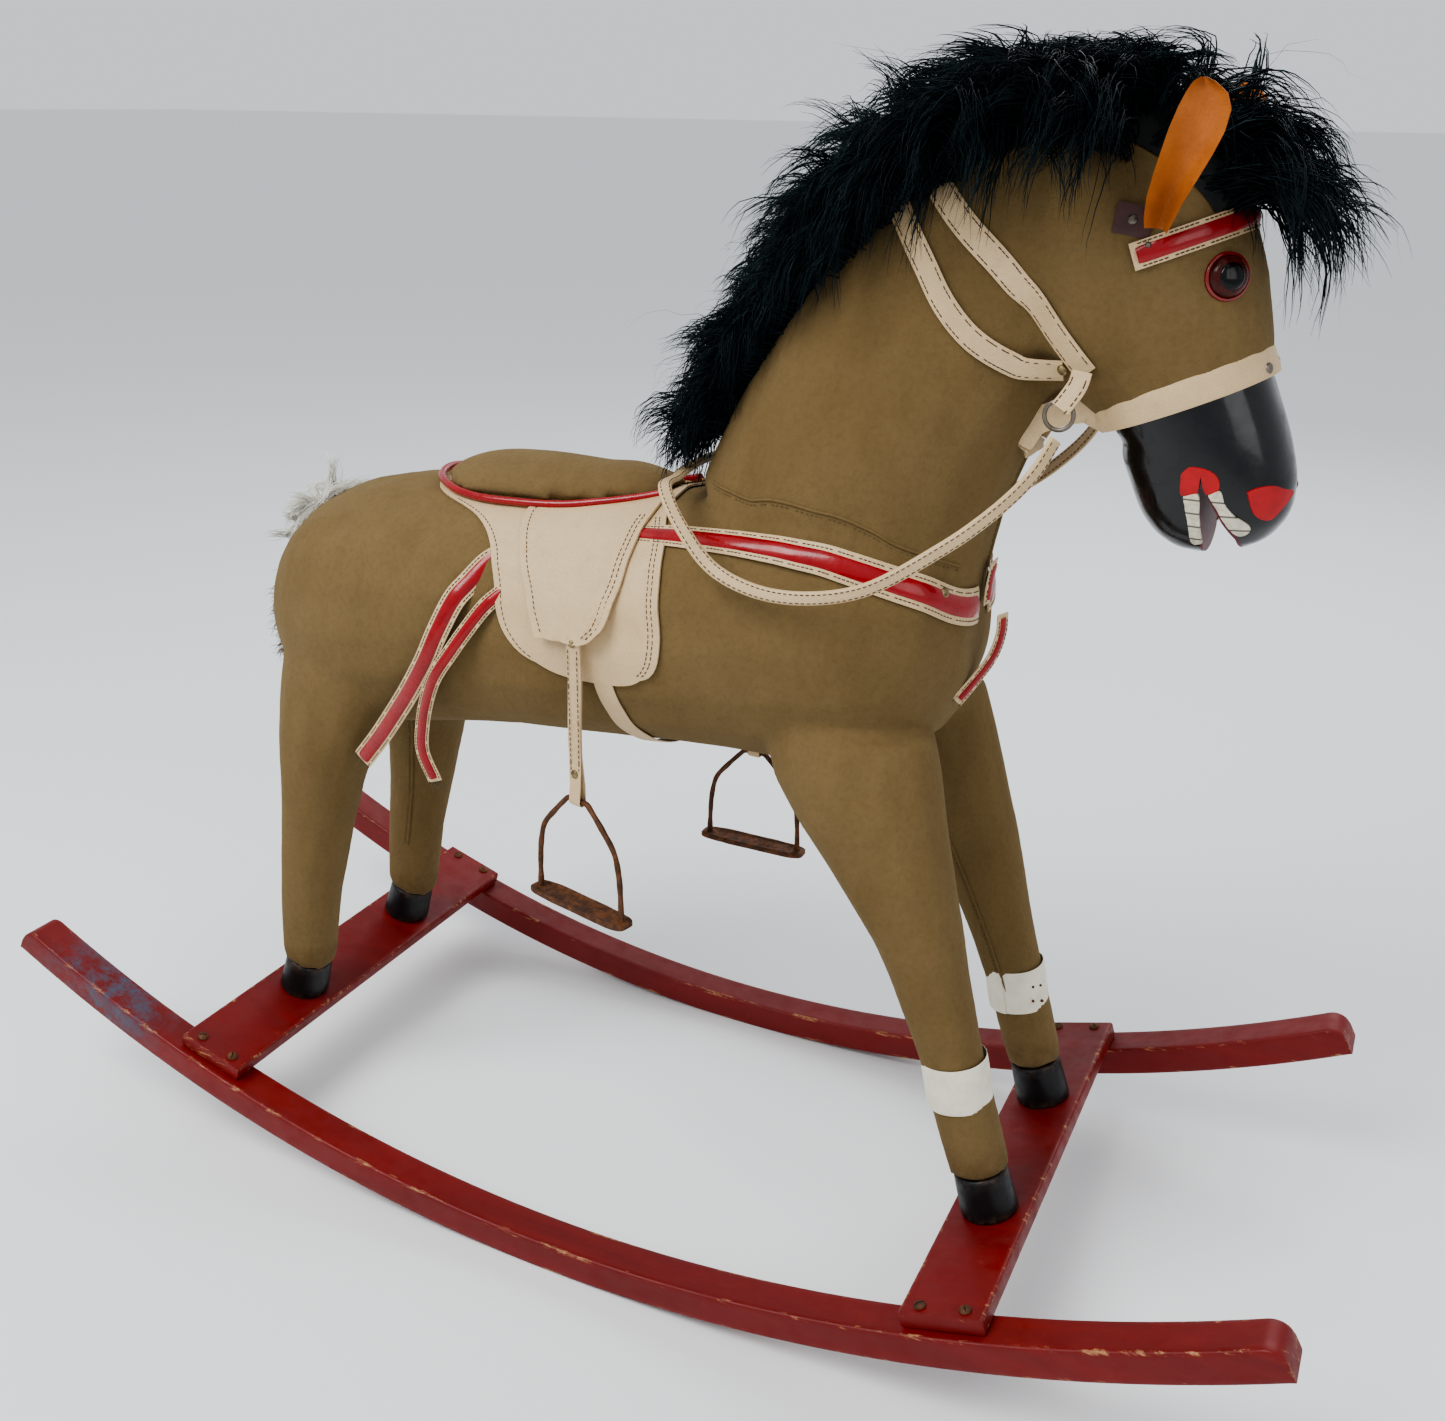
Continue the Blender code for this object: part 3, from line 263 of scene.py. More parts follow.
def wood_paint_material():
    made = Surface("red_paint", (0.150, 0.0045, 0.0035), 0.50, Coat_Weight=0.05, Coat_Roughness=0.3, Specular_IOR_Level=0.30)
    made.paint(made.ramp(made.noise(9.0, 5.0, 0.6, stretch=(0.6, 2, 2)), (0.40, 0.0), (0.72, 0.8)), (0.100, 0.0035, 0.0030))
    grain = made.noise(46.0, 6.0, 0.62, stretch=(0.10, 1.6, 1.6), distortion=0.4)
    made.paint(made.ramp(grain, (0.48, 0.0), (0.74, 0.45)), (0.205, 0.009, 0.006))
    dust = made.noise(150.0, 5.0, 0.75, stretch=(0.35, 1, 1))
    made.paint(made.ramp(dust, (0.62, 0.0), (0.80, 0.30)), (0.27, 0.080, 0.055))
    scratch = made.noise(120.0, 6.0, 0.8, stretch=(0.16, 1.3, 1.3))
    edge = made.attribute("wear")
    rubbed = made.maths("ADD", made.maths("MULTIPLY", edge, 0.215), made.maths("MULTIPLY", scratch, 1.0))
    bare = made.ramp(rubbed, (0.765, 0.0), (0.815, 0.9))
    made.paint(bare, made.ramp(made.noise(300.0, 4.0), (0.35, (0.23, 0.085, 0.035)), (0.70, (0.46, 0.24, 0.11))))
    made.paint(made.maths("MULTIPLY", made.attribute("blue"), made.ramp(made.noise(55.0, 6.0, 0.75), (0.42, 0.0), (0.60, 0.85))),
               (0.040, 0.075, 0.115))
    made.roughness(made.ramp(made.noise(65.0, 4.0), (0.3, 0.34), (0.75, 0.62)))
    made.bump(grain, 0.0006, 0.35)
    made.bump(bare, 0.0004, -0.5)
    return made.done()


def black_gloss_material():
    made = Surface("black_gloss", (0.0028, 0.0030, 0.0042), 0.20, Coat_Weight=0.30, Coat_Roughness=0.10, Specular_IOR_Level=0.35)
    made.paint(made.ramp(made.noise(60.0, 5.0, 0.7), (0.58, 0.0), (0.80, 0.4)), (0.012, 0.012, 0.015))
    scuffs = made.noise(210.0, 6.0, 0.8, stretch=(0.5, 1, 1.4))
    made.paint(made.ramp(scuffs, (0.70, 0.0), (0.80, 0.40)), (0.07, 0.068, 0.062))
    made.roughness(made.ramp(made.noise(80.0, 4.0), (0.35, 0.12), (0.75, 0.40)))
    made.bump(made.noise(45.0, 3.0), 0.0014, 0.30)
    return made.done()


def hoof_material():
    made = Surface("black_paint", (0.0035, 0.0035, 0.0045), 0.45, Coat_Weight=0.05, Coat_Roughness=0.25, Specular_IOR_Level=0.3)
    made.paint(made.ramp(made.noise(90.0, 6.0, 0.75), (0.60, 0.0), (0.78, 0.4)), (0.020, 0.017, 0.016))
    edge = made.maths("MULTIPLY", made.attribute("wear"), made.ramp(made.noise(130.0, 5.0, 0.75), (0.45, 0.0), (0.62, 1.0)))
    made.paint(edge, (0.060, 0.034, 0.020))
    made.roughness(made.ramp(made.noise(120.0, 4.0), (0.35, 0.34), (0.75, 0.62)))
    made.bump(made.noise(70.0, 4.0), 0.0010, 0.35)
    return made.done()


def rust_material(name="rust", base=(0.085, 0.040, 0.022)):
    made = Surface(name, base, 0.72, 0.55)
    made.paint(made.ramp(made.noise(120.0, 6.0, 0.7), (0.42, 0.0), (0.62, 0.9)), (0.205, 0.082, 0.034))
    made.paint(made.ramp(made.noise(330.0, 5.0, 0.7), (0.50, 0.0), (0.72, 0.8)), (0.032, 0.020, 0.016))
    made.roughness(made.ramp(made.noise(200.0, 4.0), (0.3, 0.5), (0.7, 0.9)))
    made.bump(made.noise(420.0, 5.0, 0.75), 0.0008, 0.8)
    return made.done()


def brass_material():
    made = Surface("old_brass", (0.30, 0.23, 0.12), 0.42, 0.85)
    made.paint(made.ramp(made.noise(300.0, 5.0, 0.7), (0.45, 0.0), (0.66, 0.9)), (0.06, 0.045, 0.03))
    made.bump(made.noise(500.0, 4.0), 0.0003, 0.6)
    return made.done()


def tan_leather_material():
    made = Surface("tan_leather", (0.40, 0.125, 0.026), 0.55, Specular_IOR_Level=0.25)
    made.paint(made.ramp(made.noise(38.0, 5.0, 0.6), (0.42, 0.0), (0.70, 0.75)), (0.29, 0.080, 0.016))
    made.paint(made.ramp(made.noise(140.0, 5.0, 0.7), (0.58, 0.0), (0.76, 0.5)), (0.17, 0.042, 0.012))
    made.bump(made.voronoi(900.0), 0.0003, 0.5)
    made.bump(made.noise(70.0, 3.0), 0.0012, 0.35)
    return made.done()


def plain_material(name, colour, roughness, metallic=0.0, grain=160.0, dark=0.55, depth=0.0004, **constants):
    """A plain coloured finish, mottled and a little uneven."""
    made = Surface(name, colour, roughness, metallic, **constants)
    shade = tuple(c * dark for c in colour)
    made.paint(made.ramp(made.noise(grain, 5.0, 0.68), (0.42, 0.0), (0.72, 0.85)), shade)
    made.bump(made.noise(grain * 1.7, 4.0, 0.6), depth, 0.6)
    return made.done()


def teeth_material():
    """Ivory paint, with painted shade: a dark line between one tooth and the next stands in for the shade in the groove
    there.
    """
    made = Surface("teeth_paint", (0.60, 0.56, 0.44), 0.38)
    made.paint(made.ramp(made.noise(240.0, 5.0, 0.68), (0.42, 0.0), (0.72, 0.85)), (0.36, 0.32, 0.23))
    parts = made.node("ShaderNodeSeparateXYZ")
    made.link(made.place, parts.inputs["Vector"])
    # Painted shade: dark bands repeat up the teeth where the grooves between them would fall in shade.
    tooth_gap_shade_wave = made.maths("SINE", made.maths("MULTIPLY", parts.outputs["Z"], 2 * math.pi / 0.0088), 0.0)
    made.paint(made.ramp(tooth_gap_shade_wave, (0.86, 0.0), (0.97, 0.9)), (0.05, 0.035, 0.025))
    return made.done()


def hair_material(name, root, tip, roughness):
    made = Surface(name, root, roughness, Specular_IOR_Level=0.22)
    made.shader.inputs["Specular Tint"].default_value = (0.55, 0.92, 1.0, 1)
    made.paint(made.ramp(made.noise(26.0, 3.0, 0.6), (0.40, 0.0), (0.70, 1.0)), tip)
    made.bump(made.noise(900.0, 2.0, 0.6), 0.0003, 0.4)
    return made.done()


# ---- meshes ----


def new_object(name, points, faces, material, body=BODY, smooth=True):
    mesh = bpy.data.meshes.new(name)
    mesh.from_pydata([tuple(p) for p in points], [], faces)
    mesh.validate()
    if smooth:
        mesh.shade_smooth()
    mesh.materials.append(material)
    obj = bpy.data.objects.new(name, mesh)
    bpy.context.scene.collection.objects.link(obj)
    if body:
        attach(obj, body)
    return obj


def evaluated_mesh(obj):
    """The object's mesh with its modifiers applied."""
    graph = bpy.context.evaluated_depsgraph_get()
    return bpy.data.meshes.new_from_object(obj.evaluated_get(graph))


def bake_modifiers(obj):
    mesh = evaluated_mesh(obj)
    obj.modifiers.clear()
    obj.data = mesh
    return obj


def remesh(obj, size):
    step = obj.modifiers.new("remesh", "REMESH")
    step.mode = "VOXEL"
    step.voxel_size = size
    step.use_smooth_shade = True
    return bake_modifiers(obj)


def smoothed(obj, factor, times):
    step = obj.modifiers.new("smooth", "SMOOTH")
    step.factor = factor
    step.iterations = times
    return bake_modifiers(obj)


def coordinates(mesh):
    flat = np.empty(len(mesh.vertices) * 3)
    mesh.vertices.foreach_get("co", flat)
    return flat.reshape(-1, 3)


def add_attribute(mesh, name, values):
    mesh.attributes.new(name, "FLOAT", "POINT").data.foreach_set("value", np.asarray(values, np.float32))


def tree_of(obj):
    shape = bmesh.new()
    shape.from_mesh(obj.data)
    tree = BVHTree.FromBMesh(shape)
    shape.free()
    return tree


def spline(points, spacing):
    """Evenly spaced points on a smooth curve through the given ones."""
    knots = [Vector(p) for p in points]
    ends = [2 * knots[0] - knots[1]] + knots + [2 * knots[-1] - knots[-2]]
    fine = []
    for a, b, c, d in zip(ends, ends[1:], ends[2:], ends[3:]):
        for i in range(12):
            t = i / 12
            bend = 2 * b + (c - a) * t + (2 * a - 5 * b + 4 * c - d) * t**2 + (3 * b - a - 3 * c + d) * t**3
            fine.append(bend / 2)
    fine.append(knots[-1])
    reach = [0.0]
    for a, b in zip(fine, fine[1:]):
        reach.append(reach[-1] + (b - a).length)
    count = max(2, round(reach[-1] / spacing))
    grid = np.linspace(0, reach[-1], count + 1)
    table = np.array([tuple(p) for p in fine])
    return [Vector(row) for row in np.stack([np.interp(grid, reach, table[:, k]) for k in range(3)], 1)]


def averaged(vectors, times):
    for _ in range(times):
        last = len(vectors) - 1
        vectors = [vectors[max(i - 1, 0)] + 2 * v + vectors[min(i + 1, last)] for i, v in enumerate(vectors)]
        vectors = [v.normalized() for v in vectors]
    return vectors


def frames_along(path, normals):
    """(place, along, side, normal) at each point."""
    made = []
    last = len(path) - 1
    for i, (place, normal) in enumerate(zip(path, normals)):
        along = (path[min(i + 1, last)] - path[max(i - 1, 0)]).normalized()
        side = along.cross(normal).normalized()
        made.append((place, along, side, side.cross(along).normalized()))
    return made


def on_skin(route, spacing=0.003, times=3):
    """Frames of a route laid on the plush."""
    path, normals = [], []
    for p in spline(route, spacing):
        spot, normal, _, _ = SKIN.find_nearest(p)
        path.append(spot)
        normals.append(normal)
    for _ in range(times):
        last = len(path) - 1
        path = [(path[max(i - 1, 0)] + 2 * p + path[min(i + 1, last)]) / 4 if 0 < i < last else p
                for i, p in enumerate(path)]
    return frames_along(path, averaged(normals, times + 2))


def free_frames(route, normal, spacing=0.003):
    """Frames of a route in the air, facing `normal`, a vector or a function of 0..1."""
    path = spline(route, spacing)
    last = len(path) - 1
    facing = [normal(i / last) if callable(normal) else Vector(normal) for i in range(last + 1)]
    return frames_along(path, facing)


def strap(name, frames, width, thickness, lift, material, body=BODY, crown=0.0, drape=False, columns=8, ends=1.0):
    """A flat strap with rounded edges. `drape` lays each point of its width on the plush."""
    points, faces = [], []
    last = len(frames) - 1
    for i, (place, along, side, normal) in enumerate(frames):
        wide = width(i / last) if callable(width) else width
        wide *= ends if i in (0, last) else 1.0
        low, high = [], []
        for k in range(columns + 1):
            u = 2 * k / columns - 1
            edge = 1 - abs(u) ** 6
            spot = place + side * u * wide / 2
            if drape:
                near, _, _, far = SKIN.find_nearest(spot, 0.02)
                if near is not None:
                    spot = spot + normal * (near - spot).dot(normal) * 0.85
            low.append(spot + normal * (lift + thickness * 0.18 * (1 - edge)))
            rise = lift + thickness * (0.62 + 0.38 * edge) + crown * (1 - u * u)
            high.append(spot + normal * rise)
        points += low + high[::-1]
    ring = 2 * (columns + 1)
    for i in range(last):
        a, b = i * ring, (i + 1) * ring
        faces += [(a + k, a + (k + 1) % ring, b + (k + 1) % ring, b + k) for k in range(ring)]
    for k in range(columns):
        faces.append((k, ring - 1 - k, ring - 2 - k, k + 1))
        e = last * ring
        faces.append((e + k, e + k + 1, e + ring - 2 - k, e + ring - 1 - k))
    obj = new_object(name, points, faces, material, body)
    tidy_normals(obj)
    return obj


def tidy_normals(obj):
    shape = bmesh.new()
    shape.from_mesh(obj.data)
    bmesh.ops.recalc_face_normals(shape, faces=shape.faces)
    shape.to_mesh(obj.data)
    shape.free()
    obj.data.set_sharp_from_angle(angle=math.radians(50))


STITCH_SHAPE = ((-1, 0.25), (-0.8, 0.9), (0.8, 0.9), (1, 0.25))


def stitches(name, runs, material, body=BODY, pitch=0.0042, length=0.0029, radius=0.00042):
    """Separate stitches along runs, each a list of (place, along, normal)."""
    points, faces = [], []
    for run in runs:
        reach = 0.0
        for (p, _, _), (q, along, normal) in zip(run, run[1:]):
            reach += (q - p).length
            if reach < pitch:
                continue
            reach -= pitch
            across = along.cross(normal).normalized()
            start = len(points)
            for t, r in STITCH_SHAPE:
                for k in range(6):
                    a = math.pi * k / 3
                    spot = q + along * t * length / 2
                    points.append(spot + (across * math.cos(a) + normal * math.sin(a) * 0.8) * radius * r)
            for row in range(3):
                a, b = start + row * 6, start + row * 6 + 6
                faces += [(a + k, a + (k + 1) % 6, b + (k + 1) % 6, b + k) for k in range(6)]
            faces.append(tuple(start + 5 - k for k in range(6)))
            faces.append(tuple(start + 18 + k for k in range(6)))
    return new_object(name, points, faces, material, body)


def offset_run(frames, offset, height, start=0.0, end=1.0):
    """A stitch run beside a strap's middle."""
    last = len(frames) - 1
    chosen = frames[int(start * last):int(end * last) + 1]
    return [(p + side * offset + normal * height, along, normal) for p, along, side, normal in chosen]


def tube(name, path, radius, material, body=BODY, sides=10, closed=False):
    """A round tube. radius may be a function of 0..1."""
    points, faces = [], []
    count = len(path)
    normal = None
    for i, p in enumerate(path):
        ahead = path[(i + 1) % count] if closed or i + 1 < count else p
        behind = path[i - 1] if closed or i else p
        along = (ahead - behind).normalized()
        normal = along.orthogonal() if normal is None else normal - along * normal.dot(along)
        normal.normalize()
        other = along.cross(normal)
        r = radius(i / (count - 1)) if callable(radius) else radius
        for k in range(sides):
            a = 2 * math.pi * k / sides
            points.append(p + (normal * math.cos(a) + other * math.sin(a)) * r)
    for i in range(count if closed else count - 1):
        a, b = i * sides, (i + 1) % count * sides
        faces += [(a + k, a + (k + 1) % sides, b + (k + 1) % sides, b + k) for k in range(sides)]
    if not closed:
        faces.append(tuple(range(sides))[::-1])
        faces.append(tuple(range((count - 1) * sides, count * sides)))
    obj = new_object(name, points, faces, material, body)
    tidy_normals(obj)
    return obj


def lathe(name, place, axis, profile, material, body=BODY, sides=24):
    """A turned shape. The profile is (radius, height along the axis) from one pole to the other."""
    turn = Vector(axis).to_track_quat("Z", "Y").to_matrix()
    points, faces = [], []
    for r, h in profile:
        for k in range(sides):
            a = 2 * math.pi * k / sides
            points.append(Vector(place) + turn @ Vector((r * math.cos(a), r * math.sin(a), h)))
    rows = len(profile)
    for i in range(rows - 1):
        a, b = i * sides, (i + 1) * sides
        faces += [(a + k, a + (k + 1) % sides, b + (k + 1) % sides, b + k) for k in range(sides)]
    faces.append(tuple(range(sides))[::-1])
    faces.append(tuple(range((rows - 1) * sides, rows * sides)))
    obj = new_object(name, points, faces, material, body)
    tidy_normals(obj)
    return obj


def stud(name, place, normal, radius, material, body=BODY):
    """A domed rivet head."""
    dome = [(radius, -0.0006), (radius, 0.0003), (radius * 0.92, 0.0008), (radius * 0.6, 0.0014),
            (radius * 0.25, 0.0017), (0.0001, 0.00175)]
    return lathe(name, place, normal, dome, material, body, 18)


# ---- stuffed plush body ----

SLEEVES = tuple(f"leg_sleeve_{end}_{side}" for end in ("front", "rear") for side, _ in SIDES)
COVERS = ("torso_cover", "neck_and_head_cover") + SLEEVES
FILLING = ("torso_stuffing", "neck_and_head_stuffing", "wooden_frame")
FILLING += tuple(name.replace("sleeve", "post") for name in SLEEVES)
WORN_SPOTS = (((-0.340, -0.040, 0.455), 0.026), ((-0.335, -0.050, 0.425), 0.020))


def keep_largest(mesh):
    """Removes every loose part but the one with the most vertices."""
    shape = bmesh.new()
    shape.from_mesh(mesh)
    left = set(shape.verts)
    islands = []
    while left:
        stack = [left.pop()]
        island = set(stack)
        while stack:
            for edge in stack.pop().link_edges:
                for vert in edge.verts:
                    if vert in left:
                        left.discard(vert)
                        island.add(vert)
                        stack.append(vert)
        islands.append(island)
    largest = max(islands, key=len)
    bmesh.ops.delete(shape, geom=[v for v in shape.verts if v not in largest], context="VERTS")
    shape.to_mesh(mesh)
    shape.free()


def plush_body(material):
    """One sewn skin over the torso, neck, head and legs."""
    points, faces = [], []
    for name in COVERS + FILLING:
        mesh = NODES[name].data
        start = len(points)
        points += [v.co.copy() for v in mesh.vertices]
        faces += [tuple(start + i for i in p.vertices) for p in mesh.polygons]
    skin = new_object("plush_skin", points, faces, material)
    remesh(skin, 0.0042)
    keep_largest(skin.data)
    smoothed(skin, 0.5, 9)
    place = coordinates(skin.data)
    wear = np.zeros(len(place))
    for centre, reach in WORN_SPOTS:
        wear = np.maximum(wear, np.clip(1.25 - np.linalg.norm(place - centre, axis=1) / reach, 0, 1))
    cuffs = np.clip((0.150 - place[:, 2]) / 0.03, 0, 0.35)
    wear = np.maximum(wear, cuffs)
    for i, vert in enumerate(skin.data.vertices):
        p = vert.co
        lumps = noise.noise(p * 9.0) * 0.0016 + noise.noise(p * 26.0 + Z * 7) * 0.0008
        ragged = wear[i] * noise.noise(p * 150.0) * 0.0016 if wear[i] > 0.4 else 0.0
        place[i] += np.array(vert.normal) * (lumps + ragged + 0.0005)
    skin.data.vertices.foreach_set("co", place.ravel())
    add_attribute(skin.data, "wear", wear)
    skin.data.update()
    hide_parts(*COVERS)
    return skin


def skin_at(place):
    """Spot and normal of the plush nearest a point."""
    spot, normal, _, _ = SKIN.find_nearest(Vector(place))
    return spot, normal


def seam(name, route, material, thread, ridge=0.0011, gap=0.0032):
    """A sewn welt on the plush with stitches beside it."""
    frames = on_skin(route, 0.004)
    path = [p + normal * ridge * 0.3 for p, _, _, normal in frames]
    tube(name, path, ridge, material, sides=8)
    stitches(name + "_stitches", [offset_run(frames, gap, 0.0003)], thread, radius=0.00034, length=0.0022)


def seams(plush, thread):
    for side_name, s in SIDES:
        base = [(0.066, s * 0.052, 0.612), (0.095, s * 0.090, 0.612), (0.128, s * 0.098, 0.612)]
        base += [(0.160, s * 0.098, 0.608), (0.191, s * 0.090, 0.601), (0.228, s * 0.068, 0.585), (0.255, s * 0.040, 0.570)]
        seam(f"neck_seam_{side_name}", base, plush, thread)
    front = [(0.304, 0, 0.690), (0.300, 0, 0.660), (0.290, 0, 0.620), (0.276, 0, 0.590), (0.270, 0, 0.560)]
    seam("throat_seam", front, plush, thread)
    for side_name, s in SIDES:
        inner = [(-0.270, s * 0.030, 0.375), (-0.282, s * 0.040, 0.320), (-0.295, s * 0.048, 0.250), (-0.310, s * 0.054, 0.185)]
        seam(f"rear_leg_seam_{side_name}", inner, plush, thread)
        inner = [(0.205, s * 0.030, 0.385), (0.232, s * 0.040, 0.330), (0.262, s * 0.050, 0.260), (0.290, s * 0.056, 0.190)]
        seam(f"front_leg_seam_{side_name}", inner, plush, thread)
    belly = [(-0.200, 0, 0.365), (-0.100, 0, 0.384), (0, 0, 0.392), (0.100, 0, 0.398), (0.170, 0, 0.405)]
    seam("belly_seam", belly, plush, thread)


# ---- rockers, boards, screws and hooves ----

ROCKER_RADIUS, ROCKER_DEPTH, ROCKER_WIDTH, OUTER_WIDTH = 1.144, 0.0255, 0.031, 0.410
ROCKER_LENGTH, END_ROUND = 1.10, 0.013
BOARD_WIDTH, BOARD_THICKNESS, BOARD_HALF = 0.0627, 0.0128, 0.1977
BOARD_X = {"front": 0.3274, "rear": -0.3409}
CORNER = 0.0022
WEAR_BAND = 0.0030


def worn_outline(half_u, half_v):
    """Rounded rectangle as (u, v, wear), worn at its corners."""
    outline = []
    for su, sv, start in ((1, 1, 0), (-1, 1, 90), (-1, -1, 180), (1, -1, 270)):
        cu, cv = su * (half_u - CORNER), sv * (half_v - CORNER)
        turn = [math.radians(start + a) for a in (0, 30, 60, 90)]
        corner = [(cu + CORNER * math.cos(a), cv + CORNER * math.sin(a), 1.0) for a in turn]
        before = (corner[0][0], corner[0][1] - sv * WEAR_BAND) if start in (0, 180) else (corner[0][0] - su * WEAR_BAND, corner[0][1])
        after = (corner[-1][0] - su * WEAR_BAND, corner[-1][1]) if start in (0, 180) else (corner[-1][0], corner[-1][1] - sv * WEAR_BAND)
        outline += [(*before, 0.0)] + corner + [(*after, 0.0)]
    return outline


def rocker(side_name, side, paint):
    half = math.asin(ROCKER_LENGTH / 2 / ROCKER_RADIUS)
    middle_y = side * (OUTER_WIDTH - ROCKER_WIDTH) / 2
    steps = 150
    points, faces, wear, blue = [], [], [], []
    outline = worn_outline(ROCKER_DEPTH / 2, ROCKER_WIDTH / 2)
    turns = [half * math.sin(math.pi / 2 * (2 * i / steps - 1)) for i in range(steps + 1)]
    turns = [-half] + [a for a in turns[1:-1] if abs(a) < half * 0.9985] + [half]
    for a in turns:
        from_end = (half - abs(a)) * ROCKER_RADIUS
        drop = END_ROUND - math.sqrt(max(END_ROUND**2 - max(END_ROUND - from_end, 0) ** 2, 0)) if from_end < END_ROUND else 0
        near_end = max(0.0, 1 - from_end / 0.006)
        for u, v, w in outline:
            share = (u + ROCKER_DEPTH / 2) / ROCKER_DEPTH
            radius = ROCKER_RADIUS - ROCKER_DEPTH / 2 - u + share * drop
            points.append(Vector((radius * math.sin(a), middle_y + v, ROCKER_RADIUS - radius * math.cos(a))))
            wear.append(max(w, near_end, 0.25))
            smudge = max(0.0, 1 - ((a * ROCKER_RADIUS + 0.475) / 0.075) ** 2) if side < 0 and share > 0.2 else 0.0
            blue.append(smudge)
    ring = len(outline)
    for i in range(len(turns) - 1):
        a, b = i * ring, (i + 1) * ring
        faces += [(a + k, a + (k + 1) % ring, b + (k + 1) % ring, b + k) for k in range(ring)]
    faces.append(tuple(range(ring))[::-1])
    faces.append(tuple(range((len(turns) - 1) * ring, len(turns) * ring)))
    obj = new_object(f"rocker_{side_name}_painted", points, faces, paint)
    add_attribute(obj.data, "wear", wear)
    add_attribute(obj.data, "blue", blue)
    tidy_normals(obj)
    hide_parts(f"rocker_{side_name}")


def board_matrix(which, height=0.0):
    """Frame on a board: X across its width, Z off its face, `height` above its underside."""
    inner = ROCKER_RADIUS - ROCKER_DEPTH
    angle = math.asin(BOARD_X[which] / inner)
    seat = math.sqrt(inner**2 - (BOARD_WIDTH / 2) ** 2) - 0.0006 - height
    place = Vector((seat * math.sin(angle), 0, ROCKER_RADIUS - seat * math.cos(angle)))
    return Matrix.Translation(place) @ Matrix.Rotation(-angle, 4, "Y")


def board(which, paint):
    matrix = board_matrix(which, BOARD_THICKNESS / 2)
    outline = worn_outline(BOARD_WIDTH / 2, BOARD_THICKNESS / 2)
    stops = [-1, -0.999, -0.985] + [k / 30 - 0.95 for k in range(58)] + [0.985, 0.999, 1]
    points, faces, wear = [], [], []
    for stop in stops:
        end = abs(stop) > 0.998
        for u, v, w in outline:
            shrink = 0.96 if abs(stop) == 1 else 1.0
            points.append(matrix @ Vector((u * shrink, stop * BOARD_HALF, v * (shrink if shrink == 1 else 0.9))))
            wear.append(max(w, 0.9 if end else 0.0, 0.2))
    ring = len(outline)
    for i in range(len(stops) - 1):
        a, b = i * ring, (i + 1) * ring
        faces += [(a + k, a + (k + 1) % ring, b + (k + 1) % ring, b + k) for k in range(ring)]
    faces.append(tuple(range(ring))[::-1])
    faces.append(tuple(range((len(stops) - 1) * ring, len(stops) * ring)))
    obj = new_object(f"{which}_board_painted", points, faces, paint)
    rub = np.asarray(wear)
    if which == "rear":
        spot = matrix @ Vector((0.004, -0.120, BOARD_THICKNESS / 2))
        away = np.linalg.norm(coordinates(obj.data) - np.array(spot), axis=1)
        rub = np.maximum(rub, np.clip(1.1 - away / 0.028, 0, 0.9))
    add_attribute(obj.data, "wear", rub)
    add_attribute(obj.data, "blue", np.zeros(len(points)))
    tidy_normals(obj)
    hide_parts(f"{which}_board")


SCREW_PROFILE = ((0.0019, -0.0280), (0.0019, 0.0003), (0.0045, 0.0003), (0.0045, 0.0008),
                 (0.0041, 0.0018), (0.0030, 0.0027), (0.0014, 0.0032), (0.0002, 0.0033))


def screws(material):
    for which in ("front", "rear"):
        face = board_matrix(which, BOARD_THICKNESS)
        for side_name, side in SIDES:
            for place, offset, turn in (("back", -0.0168, 35), ("fore", 0.0168, -60)):
                spot = Vector((offset, side * (OUTER_WIDTH - ROCKER_WIDTH) / 2, 0))
                name = f"screw_{which}_{side_name}_{place}"
                screw = lathe(name + "_head", spot, Z, SCREW_PROFILE, material, None)
                cutter = bmesh.new()
                bmesh.ops.create_cube(cutter, size=1)
                bmesh.ops.scale(cutter, verts=cutter.verts, vec=(0.012, 0.0011, 0.003))
                mesh = bpy.data.meshes.new("slot")
                cutter.to_mesh(mesh)
                cutter.free()
                slot = bpy.data.objects.new("slot", mesh)
                bpy.context.scene.collection.objects.link(slot)
                slot.matrix_world = Matrix.Translation(spot + Z * 0.0034) @ Matrix.Rotation(math.radians(turn), 4, "Z")
                cut = screw.modifiers.new("slot", "BOOLEAN")
                cut.operation, cut.object, cut.solver = "DIFFERENCE", slot, "EXACT"
                bpy.context.view_layer.update()
                bake_modifiers(screw)
                bpy.data.objects.remove(slot)
                screw.data.transform(face)
                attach(screw, BODY)
                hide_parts(name)


def hooves(paint):
    for which in ("front", "rear"):
        up = (board_matrix(which).to_3x3() @ Z).normalized()
        for side_name, side in SIDES:
            foot = board_matrix(which, BOARD_THICKNESS + 0.0003) @ Vector((0, side * 0.077, 0))
            profile = [(0.0002, 0.0), (0.0205, 0.0), (0.0216, 0.0008), (0.0219, 0.0022)]
            profile += [(0.0219 - 0.0015 * t, 0.0022 + 0.0310 * t) for t in (0.2, 0.4, 0.6, 0.8, 1.0)]
            profile += [(0.0200, 0.0352), (0.0188, 0.0360), (0.0002, 0.0360)]
            hoof = lathe(f"hoof_{which}_{side_name}_painted", foot, up, profile, paint, sides=40)
            height = (coordinates(hoof.data) - np.array(foot)) @ np.array(up)
            add_attribute(hoof.data, "wear", np.clip(1 - height / 0.006, 0, 1) + (height > 0.033) * 0.7)
            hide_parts(f"hoof_{which}_{side_name}")


